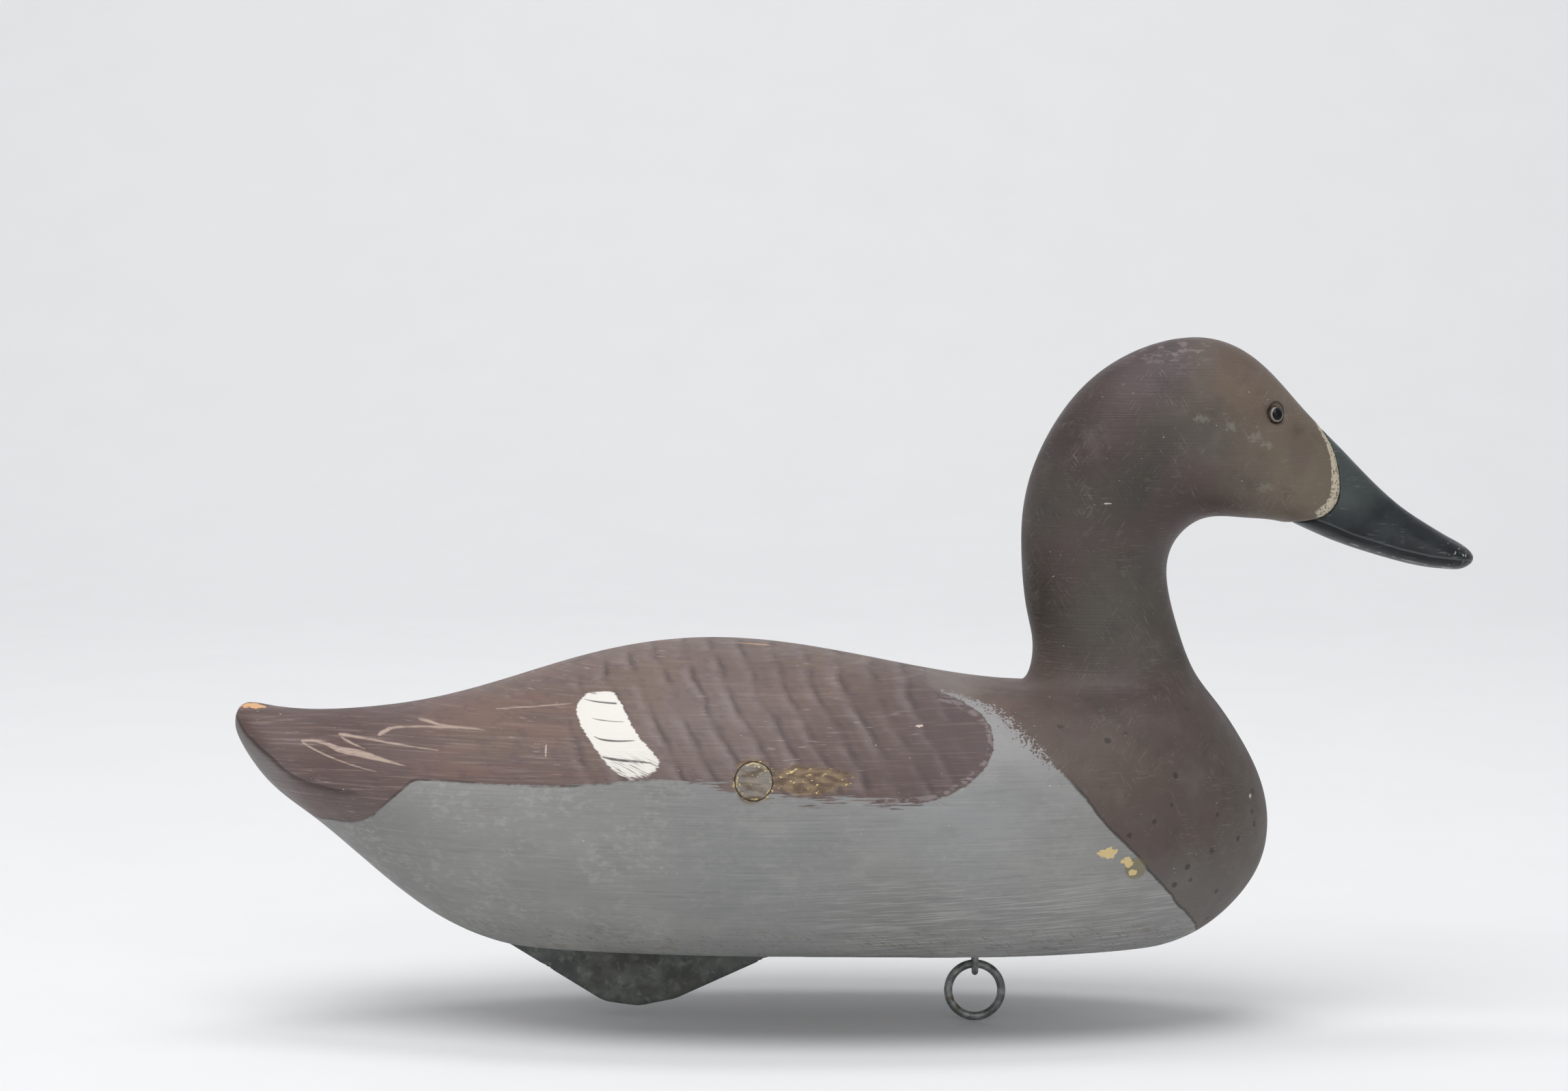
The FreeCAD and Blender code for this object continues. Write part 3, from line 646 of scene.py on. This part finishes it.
def stains(paint, size, seed, density):
    """Small round dark stains: 1 inside a stain."""
    place = paint.vector("SCALE", paint.place, scale=1 / size)
    place = paint.vector("ADD", place, (seed, seed, seed))
    cells = paint.add("TexVoronoi")
    paint.feed(cells.inputs["Vector"], place)
    cells.inputs["Scale"].default_value = 1.0
    split = paint.add("SeparateColor")
    paint.feed(split.inputs[0], cells.outputs["Color"])
    chosen = paint.ramp(split.outputs[0], 1 - density, 1 - density + 0.01)
    distance = paint.wobble(cells.outputs["Distance"], size / 6, 0.03, seed=seed)
    return paint.times(chosen, paint.ramp(distance, 0.19, 0.12))


def breast_edge(paint):
    """Where the dark breast paint ends: crisp below the wing, sprayed with dots above it."""
    upper = paint.ramp(paint.x, 126, 112)
    rim = paint.wobble(paint.layer("breast"), (3, 3, 3), 0.25, seed=51)
    rim = paint.wobble(rim, 16, 0.5, seed=52)
    dust = paint.minus(paint.noise(1.0, seed=53, detail=2), 0.52)
    brush = paint.minus(paint.noise((1.6, 6, 6), seed=54, detail=4), 0.5)
    fuzz = paint.plus(paint.times(dust, 17), paint.times(brush, 10))
    low = paint.ramp(paint.z, 105, 97, 0.25, 1.0)
    return paint.plus(rim, paint.times(fuzz, paint.times(upper, low)))


def flecks(paint, colour):
    """Tiny pale flecks where the paint has lifted."""
    lifted = paint.ramp(paint.noise((1.5, 1.5, 0.7), seed=81, detail=1), 0.775, 0.79)
    lifted = paint.times(lifted, paint.ramp(paint.noise(18, seed=82), 0.48, 0.62))
    return paint.mix(paint.times(lifted, 0.75), colour, (0.62, 0.60, 0.56))


def wood_relief(paint):
    """Height of the grain, pores and knife facets under the paint."""
    grain = paint.times(paint.noise((45, 45, 0.7), seed=101, detail=4), 0.55)
    pores = paint.times(paint.noise(1.1, seed=102, detail=2), 0.20)
    facets = paint.times(paint.noise(9, seed=103), 0.9)
    return paint.plus(paint.plus(grain, pores), facets)


def back_share(paint):
    """1 where the brown of the back and tail covers the grey of the flank."""
    edge = paint.wobble(paint.layer("back"), (2.5, 2.5, 0.9), 0.35, seed=41)
    edge = paint.wobble(edge, (14, 14, 3), 0.6, seed=42)
    soft = paint.band(paint.x, -20, 62, 16)
    ragged = paint.times(paint.minus(paint.noise((16, 16, 0.9), seed=43, detail=5), 0.5), 22)
    edge = paint.plus(edge, paint.times(ragged, paint.times(soft, paint.ramp(paint.z, 92, 80))))
    return paint.ramp(edge, -0.35, 0.35)


def scallops(paint, colour):
    """Light dabs round the front edge of the brown saddle."""
    edge = paint.band(paint.layer("back"), 0.5, 2.4, 0.5)
    edge = paint.times(edge, paint.ramp(paint.x, 30, 55))
    dabs = paint.times(edge, paint.ramp(paint.noise((4, 4, 2), seed=44), 0.46, 0.56))
    return paint.mix(paint.times(dabs, 0.4), colour, (0.31, 0.28, 0.27))


def tail_shade(paint, colour, back):
    """The shadow line under the tail's edge, a painted grey highlight near the tip and a painted
    shadow line along the lower edge of the brown.
    """
    under = paint.minus(paint.over_x(TAIL_CHINE, 1), paint.z)
    tail = paint.times(paint.ramp(paint.x, -150, -166), back)
    chine = paint.wobble(under, (12, 12, 4), 0.35, seed=62)
    shade = paint.times(paint.ramp(chine, -0.4, 0.3), paint.ramp(chine, 4, 0.3))
    colour = paint.mix(paint.times(shade, paint.times(tail, 0.7)), colour, SHADOW_LINE)
    # painted grey highlight on the underside near the tail's tip
    tip_highlight = paint.times(paint.ramp(paint.x, -176, -202), paint.ramp(chine, 1.2, 3.5))
    colour = paint.mix(paint.times(tip_highlight, 0.6), colour, (0.19, 0.185, 0.178))
    # a painted shadow line along the lower edge of the brown paint, under its raised edge
    shade_line = paint.band(paint.layer("back"), -0.5, 0.4, 0.35)
    shade_line = paint.times(shade_line, paint.ramp(paint.x, -30, -60))
    shade_line = paint.times(shade_line, paint.ramp(paint.noise(12, seed=61), 0.38, 0.55))
    return paint.mix(paint.times(shade_line, 0.75), colour, (0.045, 0.036, 0.033))


def wing_patch(paint, colour):
    """The white patch with its four dark strokes, and the share it covers."""
    edge = paint.wobble(paint.layer("patch"), (5, 5, 0.9), 0.55, seed=71)
    streaks = paint.minus(paint.noise((9, 9, 0.5), seed=72, detail=3, lean=24), 0.5)
    lower = paint.ramp(paint.z, 88, 78)
    edge = paint.plus(edge, paint.times(paint.times(streaks, 5), lower))
    patch = paint.ramp(edge, -0.3, 0.35)
    dry = paint.times(paint.ramp(streaks, 0.0, 0.10), lower)
    patch = paint.times(patch, paint.ramp(dry, 0, 1, 1.0, 0.35))
    colour = paint.mix(patch, colour, WHITE)
    for line in PATCH_STROKES:
        share = paint.times(paint.stroke(line, soft=0.2, brushed=0.1), patch)
        colour = paint.mix(paint.times(share, 0.9), colour, PATCH_STROKE)
    return colour, patch


def tail_strokes(paint, colour):
    dry = paint.ramp(paint.noise((6, 6, 0.4), seed=45, detail=3), 0.34, 0.50, 0.45, 1.0)
    for line in CREAM_STROKES:
        colour = paint.mix(paint.times(paint.stroke(line), dry), colour, CREAM)
    return colour


def hull_paint():
    """The carved body: grey flank, brown back, white patch, dark breast."""
    paint = Paint("hull_paint", roughness=0.5, specular=0.35)
    near = paint.near_side()
    back = back_share(paint)
    colour = paint.mix(back, flank_colour(paint), back_colour(paint))
    colour = scallops(paint, colour)
    colour = tail_shade(paint, colour, back)
    colour, patch = wing_patch(paint, colour)
    colour = tail_strokes(paint, colour)

    rim = breast_edge(paint)
    breast = paint.ramp(rim, -0.4, 0.4)
    colour = paint.mix(breast, colour, breast_colour(paint))
    # a painted shadow line along the raised edge of the breast paint, below the wing
    ridge = paint.times(paint.band(rim, -0.5, 0.5, 0.4), paint.ramp(paint.x, 122, 130))
    colour = paint.mix(paint.times(ridge, 0.8), colour, (0.03, 0.027, 0.025))
    spots = stains(paint, size=9, seed=3.3, density=0.5)
    spots = paint.times(spots, paint.times(breast, paint.ramp(paint.z, 104, 92)))
    colour = paint.mix(paint.times(spots, 0.72), colour, STAIN)
    colour, crack = knot_marks(paint, colour, near)
    colour = chips(paint, colour, near)
    colour = flecks(paint, colour)

    height = paint.minus(wood_relief(paint), crack)
    height = paint.plus(height, paint.times(patch, 0.25))
    rough = paint.plus(0.40, paint.times(paint.noise(12, seed=104), 0.28))
    return paint.finish(colour, rough, height, depth=0.35)


def head_paint():
    """The neck and head: dark paint, worn pale round the bill and scribed round the eyes."""
    paint = Paint("head_paint", roughness=0.5, specular=0.35)
    near = paint.near_side()
    colour = flecks(paint, breast_colour(paint))
    rim = breast_edge(paint)
    colour = paint.mix(paint.ramp(rim, 0.4, -0.4), colour, paint.layer("grey", "Color"))
    scratch = paint.wobble(paint.spot((142, 0, 180), (1.8, None, 0.4)), 1.2, 0.3, seed=126)
    scratch = paint.times(paint.ramp(scratch, 0.80, 0.72), near)
    colour = paint.mix(paint.times(scratch, 0.9), colour, (0.5, 0.48, 0.44))
    cheek = [(191, 211), (201, 206.5), (206, 203), (179, 214), (205, 186)]
    for number, (x, z) in enumerate(cheek):
        inside = paint.spot((x, 0, z), (4.2, None, 2.6))
        inside = paint.wobble(inside, 1.4, 0.6, seed=131 + number, detail=4)
        smear = paint.times(paint.ramp(inside, 0.9, 0.2), 0.3)
        colour = paint.mix(smear, colour, (0.26, 0.265, 0.225))
    colour = worn_band(paint, colour)
    for side in (-1, 1):
        colour = eye_groove(paint, colour, side)
    rough = paint.plus(0.35, paint.times(paint.noise(12, seed=104), 0.28))
    return paint.finish(colour, rough, wood_relief(paint), depth=0.35)


def worn_band(paint, colour):
    """Bare undercoat along the root of the bill, cut by short dark scratches."""
    worn = paint.wobble(paint.layer("bill_gap"), (2.6, 2.6, 1.2), 0.5, seed=91, detail=4)
    reach = paint.times(paint.band(paint.z, 174, 212, 3), 5.0)
    band = paint.ramp(paint.minus(reach, worn), -0.3, 0.3)
    colour = paint.mix(paint.times(band, 0.92), colour, WORN_CREAM)
    specks = paint.times(band, paint.ramp(paint.noise(0.9, seed=92, detail=2), 0.56, 0.62))
    return paint.mix(paint.times(specks, 0.8), colour, (0.07, 0.055, 0.045))


def knot_marks(paint, colour, near):
    """The ring-shaped crack round the knot and the resin that has bled from it."""
    x, z = KNOT_AXIS[0] / MM, KNOT_AXIS[2] / MM
    radius = KNOT_RADIUS / MM
    offset = paint.vector("SUBTRACT", paint.place, (x, 0, z))
    reach = paint.vector("LENGTH", paint.vector("MULTIPLY", offset, (1, 0, 1)))
    ring = paint.wobble(reach, 3, 0.22, seed=111)
    crack = paint.times(paint.band(ring, radius - 0.1, radius + 0.35, 0.2), near)
    streak = paint.spot((x + 22, 0, z + 0.5), (19, None, 6.5))
    streak = paint.wobble(streak, (6, 6, 2), 0.22, seed=112, detail=5)
    halo = paint.wobble(paint.minus(reach, radius), (7, 7, 3), 1.2, seed=113, detail=4)
    resin = paint.math("MAXIMUM", paint.ramp(streak, 1.0, 0.65), paint.ramp(halo, 2.2, 0.4))
    resin = paint.times(resin, near)
    tone = paint.ramp(paint.noise((5, 5, 2), seed=114, detail=5), 0.35, 0.68)
    amber = paint.mix(tone, (0.095, 0.060, 0.030), (0.26, 0.18, 0.10))
    colour = paint.mix(paint.times(resin, 0.8), colour, amber)
    crust = paint.ramp(paint.noise((2.4, 2.4, 1.3), seed=115, detail=4), 0.62, 0.65)
    colour = paint.mix(paint.times(crust, resin), colour, OCHRE)
    return paint.mix(crack, colour, CRACK), crack


def chips(paint, colour, near):
    """Flaked places and scratches, each at its own spot."""
    flakes = [
        ((140, 0, 45.5), (4.6, None, 2.8), 2.2, OCHRE, near),
        ((148.5, 0, 41), (3.2, None, 2.6), 2.0, OCHRE, near),
        ((150.5, 0, 36.8), (2.4, None, 1.6), 1.8, OCHRE, near),
        ((-202, -4, 95.5), (6.2, 5.0, 4.0), 2.4, BARE_WOOD, 1.0),
        ((2, -8.5, 122), (11, 1.0, 3), 3.0, BARE_WOOD, 1.0),
        ((66, 0, 95), (1.9, None, 0.5), 1.2, (0.6, 0.48, 0.43), near),
        ((-81, 0, 85.5), (0.5, None, 2.8), 1.0, (0.42, 0.33, 0.29), near),
        ((200, 0, 62), (0.8, None, 1.1), 1.0, (0.5, 0.47, 0.4), near),
    ]
    olive = paint.times(paint.ramp(paint.spot((151.5, 0, 38.5), (4.6, None, 4.8)), 1.05, 0.8), near)
    colour = paint.mix(paint.times(olive, 0.6), colour, OLIVE)
    for number, (centre, radii, grain, tone, share) in enumerate(flakes):
        inside = paint.wobble(paint.spot(centre, radii), grain, 0.42, seed=121 + number, detail=3)
        mark = paint.times(paint.ramp(inside, 0.80, 0.72), share)
        colour = paint.mix(paint.times(mark, 0.92), colour, tone)
    return colour


def eye_groove(paint, colour, side):
    """The line scribed round one eye."""
    x, z = EYE_CENTRE[0] / MM, EYE_CENTRE[1] / MM
    on_side = paint.ramp(paint.times(paint.y, side), 5, 9)
    inside = paint.spot((x, 0, z + 0.6), (3.3, None, 4.5))
    groove = paint.band(paint.wobble(inside, 2.2, 0.05, seed=141), 0.84, 1.06, 0.07)
    broken = paint.ramp(paint.noise(3.2, seed=142), 0.36, 0.5)
    upper = paint.ramp(paint.z, z - 5, z + 1, 0.35, 1.0)
    groove = paint.times(paint.times(groove, broken), paint.times(on_side, upper))
    return paint.mix(paint.times(groove, 0.85), colour, (0.03, 0.022, 0.018))


# ---------------------------------------------------------------- bill, glass, lead and steel
def bill_paint():
    paint = Paint("bill_paint", roughness=0.3, specular=0.3)
    base = paint.mix(paint.ramp(paint.noise(18, seed=3, detail=5), 0.4, 0.66),
                     (0.007, 0.009, 0.011), (0.020, 0.025, 0.027))
    near_face = paint.times(paint.ramp(paint.x, 262, 238), paint.ramp(paint.z, 172, 182))
    base = paint.mix(paint.times(near_face, 0.55), base, (0.080, 0.095, 0.092))
    scuff = paint.times(paint.ramp(paint.noise((7, 7, 0.9), seed=4, detail=5), 0.57, 0.70),
                        paint.ramp(paint.noise(14, seed=5), 0.45, 0.6))
    base = paint.mix(paint.times(scuff, 0.4), base, (0.16, 0.17, 0.17))
    chip = paint.ramp(paint.noise(1.3, seed=6, detail=3), 0.63, 0.66)
    rim = paint.ramp(paint.x, 276, 290)
    base = paint.mix(paint.times(chip, rim), base, (0.55, 0.53, 0.47))
    lip = paint.times(paint.ramp(paint.layer("ridge"), 1.0, 2.5), 0.55)
    base = paint.mix(lip, base, (0.042, 0.047, 0.050))
    # painted shade in the crease under the upper bill's proud edge
    shade_line = paint.band(paint.layer("ridge"), -0.2, 0.7, 0.25)
    base = paint.mix(paint.times(shade_line, 0.8), base, (0.006, 0.007, 0.008))
    # a painted highlight along the upper bill's edge, just above that crease
    edge = paint.band(paint.layer("ridge"), -1.0, -0.3, 0.3)
    base = paint.mix(paint.times(edge, 0.6), base, (0.085, 0.10, 0.10))
    glint = paint.times(paint.band(paint.layer("ridge"), 3.3, 3.7, 0.25),
                        paint.ramp(paint.noise((5, 5, 2), seed=11), 0.50, 0.58))
    glint = paint.times(glint, paint.ramp(paint.x, 230, 245, 0, 0.8))
    base = paint.mix(glint, base, (0.36, 0.37, 0.37))
    swell = paint.times(paint.noise(7, seed=8), 0.8)
    height = paint.plus(swell, paint.times(paint.noise(1.2, seed=9), 0.12))
    rough = paint.plus(0.22, paint.times(paint.noise(9, seed=10, detail=4), 0.35))
    return paint.finish(base, rough, height, depth=0.3)


def eye_glass():
    """A black pupil in a thin pale iris, under clear glass."""
    paint = Paint("eye_glass", roughness=0.16, specular=0.16)
    x, z = EYE_CENTRE[0] / MM, EYE_CENTRE[1] / MM
    out = paint.spot((x + 0.4, 0, z + 0.3), (2.05, None, 2.45))
    tone = paint.mix(paint.noise(0.8, seed=5), (0.17, 0.155, 0.14), (0.32, 0.30, 0.275))
    colour = paint.mix(paint.ramp(out, 0.97, 1.05), (0.004, 0.005, 0.006), tone)
    colour = paint.mix(paint.ramp(out, 1.24, 1.36), colour, (0.075, 0.060, 0.048))
    return paint.finish(colour)


def knot_wood():
    paint = Paint("knot_wood", roughness=0.5, specular=0.35)
    base = paint.mix(paint.ramp(paint.noise((9, 9, 2.4), seed=3, detail=5), 0.38, 0.64),
                     (0.10, 0.070, 0.045), (0.235, 0.20, 0.165))
    grey = paint.ramp(paint.noise((8, 8, 4), seed=4, detail=4), 0.44, 0.56)
    base = paint.mix(paint.times(grey, 0.75), base, (0.185, 0.168, 0.152))
    crust = paint.ramp(paint.noise((2.2, 2.2, 1.4), seed=5, detail=3), 0.63, 0.66)
    base = paint.mix(paint.times(crust, 0.85), base, OCHRE)
    x, z = KNOT_AXIS[0] / MM, KNOT_AXIS[2] / MM
    rim = paint.spot((x, 0, z), (KNOT_RADIUS / MM, None, KNOT_RADIUS / MM))
    edge = paint.band(paint.wobble(rim, 2, 0.06, seed=6), 0.9, 0.97, 0.03)
    edge = paint.times(edge, paint.ramp(paint.noise(4, seed=8), 0.45, 0.6))
    base = paint.mix(edge, base, OCHRE)
    height = paint.noise((9, 9, 1.0), seed=7, detail=4)
    return paint.finish(base, None, height, depth=0.5)


def cast_lead():
    paint = Paint("cast_lead", roughness=0.62, metallic=0.35, specular=0.3)
    mottle = paint.noise(8, seed=3, detail=6, roughness=0.6)
    base = paint.mix(paint.ramp(mottle, 0.36, 0.66), (0.080, 0.087, 0.082), (0.150, 0.158, 0.147))
    bloom = paint.ramp(paint.noise(3.0, seed=4, detail=5), 0.56, 0.68)
    base = paint.mix(paint.times(bloom, 0.45), base, (0.24, 0.25, 0.235))
    dirt = paint.ramp(paint.noise(14, seed=5), 0.5, 0.64)
    base = paint.mix(paint.times(dirt, 0.35), base, (0.06, 0.052, 0.042))
    height = paint.plus(paint.noise(5, seed=6, detail=4), paint.times(paint.noise(1.2, seed=7), 0.25))
    rough = paint.plus(0.45, paint.times(paint.noise(6, seed=8), 0.3))
    return paint.finish(base, rough, height, depth=0.5)


def aged_steel():
    paint = Paint("aged_steel", roughness=0.5, metallic=0.6, specular=0.4)
    tarnish = paint.noise(4, seed=3, detail=5, roughness=0.6)
    base = paint.mix(paint.ramp(tarnish, 0.4, 0.62), (0.15, 0.165, 0.16), (0.34, 0.355, 0.34))
    rust = paint.ramp(paint.noise(5, seed=4, detail=5), 0.58, 0.68)
    base = paint.mix(paint.times(rust, 0.6), base, (0.13, 0.065, 0.035))
    height = paint.noise(1.6, seed=5, detail=3)
    rough = paint.plus(0.35, paint.times(tarnish, 0.3))
    return paint.finish(base, rough, height, depth=0.15)


def plain_wood():
    paint = Paint("dowel_wood", roughness=0.6)
    grain = paint.ramp(paint.noise((2, 2, 30), seed=3, detail=4), 0.35, 0.65)
    return paint.finish(paint.mix(grain, (0.42, 0.28, 0.15), (0.60, 0.43, 0.26)))


# ---------------------------------------------------------------- the pieces
def finish_skin(piece, node, material):
    for name, anchors in (("grey", GREY), ("brown", BROWN), ("dark", DARK)):
        tint(piece, name, anchors)
    for name, outline in (("back", BROWN_BACK), ("breast", BREAST), ("patch", WING_PATCH)):
        paint_mask(piece, name, outline)
    distance_to(piece, "bill_gap", "bill")
    use(piece, material)
    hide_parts(node)
    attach(piece, "decoy")


def carved_wood():
    """The painted hull and head: one smooth skin, parted at the seat under the neck."""
    body = skin("body_skin", ["body_block", "knot_plug", "neck_head"], SKIN_GRID)
    ease_neck(body)
    sink(body, (KNOT_AXIS[0], KNOT_FACE, KNOT_AXIS[2]), (0, -1, 0), KNOT_RADIUS, KNOT_RECESS)
    for side in (-1, 1):
        facing = (
            math.sin(EYE_TURN) * math.cos(EYE_TILT),
            side * math.cos(EYE_TURN) * math.cos(EYE_TILT),
            math.sin(EYE_TILT),
        )
        centre = (EYE_CENTRE[0], side * EYE_OUT, EYE_CENTRE[1])
        sink(body, centre, facing, EYE_SEAT_RADIUS, EYE_SEAT_DEPTH)
    head = body.copy()
    head.data = body.data.copy()
    head.name = "head_skin"
    bpy.context.scene.collection.objects.link(head)
    split_at_seat(body, False)
    split_at_seat(head, True)
    finish_skin(body, "body_block", hull_paint())
    finish_skin(head, "neck_head", head_paint())


def bill_piece():
    """The bill, with its lower mandible set in below the ridge along each side."""
    bill = skin("bill_skin", ["bill"], BILL_GRID)
    points = points_of(bill)
    below = signed_distance(points, MANDIBLE)
    side = np.sign(points[:, 1])
    off_middle = np.clip(np.abs(points[:, 1]) / (4 * MM), 0, 1)
    points[:, 1] -= side * MANDIBLE_INSET * np.clip(below / 0.8, 0, 1) * off_middle
    set_points(bill, points)
    bill.data.attributes.new("ridge", "FLOAT", "POINT").data.foreach_set("value", below)
    use(bill, bill_paint())
    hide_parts("bill")
    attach(bill, "decoy")


def keel_piece():
    """The cast keel, with the faint waves of its sand mould."""
    keel = skin("keel_casting", ["keel_weight"], KEEL_GRID)
    points = points_of(keel)
    wave = (
        np.sin(points[:, 0] / (9 * MM) + 1.3) * np.cos(points[:, 2] / (5 * MM))
        + np.sin(points[:, 0] / (4.1 * MM) + 0.4 + points[:, 2] / (7 * MM))
    )
    clear_of_hull = np.clip(-points[:, 2] / (6 * MM), 0, 1)
    outer = np.abs(points[:, 1]) > KEEL_SIDE
    points[:, 1] -= np.sign(points[:, 1]) * outer * MOULD_WAVE * (1 + 0.5 * wave) * clear_of_hull
    set_points(keel, points)
    use(keel, cast_lead())
    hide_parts("keel_weight")
    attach(keel, "decoy")


carved_wood()
bill_piece()
keel_piece()
STEEL = aged_steel()
for node, material in (
    ("knot_plug", knot_wood()),
    ("eye_left", eye_glass()),
    ("eye_right", eye_glass()),
    ("neck_dowel", plain_wood()),
    ("bill_dowel", plain_wood()),
    ("keel_screws", STEEL),
    ("line_staple", STEEL),
    ("line_ring", STEEL),
):
    for slot in NODES[node].material_slots:
        slot.material = material


# ---------------------------------------------------------------- floor, light and camera
def floor():
    """A pale floor that sweeps up behind the object."""
    level = CAD_BOX[0][2] - 0.5 * MM
    profile = [(FLOOR_FRONT, level), (SWEEP_START, level)]
    for step in range(1, SWEEP_STEPS + 1):
        turn = math.pi / 2 * step / SWEEP_STEPS
        along = SWEEP_START + SWEEP_RADIUS * math.sin(turn)
        profile.append((along, level + SWEEP_RADIUS * (1 - math.cos(turn))))
    profile.append((SWEEP_START + SWEEP_RADIUS, SWEEP_TOP))
    mesh = bpy.data.meshes.new("floor")
    places = [(x, y, z) for y, z in profile for x in (-FLOOR_HALF_WIDTH, FLOOR_HALF_WIDTH)]
    quads = [(2 * k, 2 * k + 1, 2 * k + 3, 2 * k + 2) for k in range(len(profile) - 1)]
    mesh.from_pydata(places, [], quads)
    sweep = bpy.data.objects.new("floor", mesh)
    bpy.context.scene.collection.objects.link(sweep)
    for polygon in mesh.polygons:
        polygon.use_smooth = True
    paint = Paint("pale_floor", roughness=0.8, specular=0.1)
    use(sweep, paint.finish(paint.mix(paint.noise(60), (0.82, 0.82, 0.83), (0.85, 0.85, 0.86))))


def area_light(name, place, aim, size, power):
    lamp = bpy.data.lights.new(name, "AREA")
    lamp.shape = "DISK"
    lamp.size = size
    lamp.energy = power
    light = bpy.data.objects.new(name, lamp)
    light.location = place
    light.rotation_euler = (Vector(aim) - Vector(place)).to_track_quat("-Z", "Y").to_euler()
    bpy.context.scene.collection.objects.link(light)


def studio():
    floor()
    area_light("overhead", (-0.3, -0.9, 1.9), (0.02, 0, 0.1), 1.6, 24)
    area_light("front_fill", (0.5, -2.6, 1.0), (0.05, 0, 0.1), 1.8, 12)
    area_light("backdrop", (0.0, 0.6, 2.6), (0.0, 2.6, 0.9), 1.6, 26)
    world = bpy.data.worlds.new("studio_air")
    world.use_nodes = True
    air = world.node_tree.nodes["Background"]
    air.inputs["Color"].default_value = (0.97, 0.985, 1.0, 1)
    air.inputs["Strength"].default_value = 0.48
    bpy.context.scene.world = world
    bpy.context.scene.view_settings.view_transform = "Standard"


def camera():
    lens = bpy.data.cameras.new("camera")
    lens.sensor_width = SENSOR_WIDTH
    lens.lens = CAMERA_LENS
    view = bpy.data.objects.new("camera", lens)
    view.location = CAMERA_PLACE
    view.rotation_euler = (CAMERA_TILT, 0, 0)
    bpy.context.scene.collection.objects.link(view)
    bpy.context.scene.camera = view


studio()
camera()
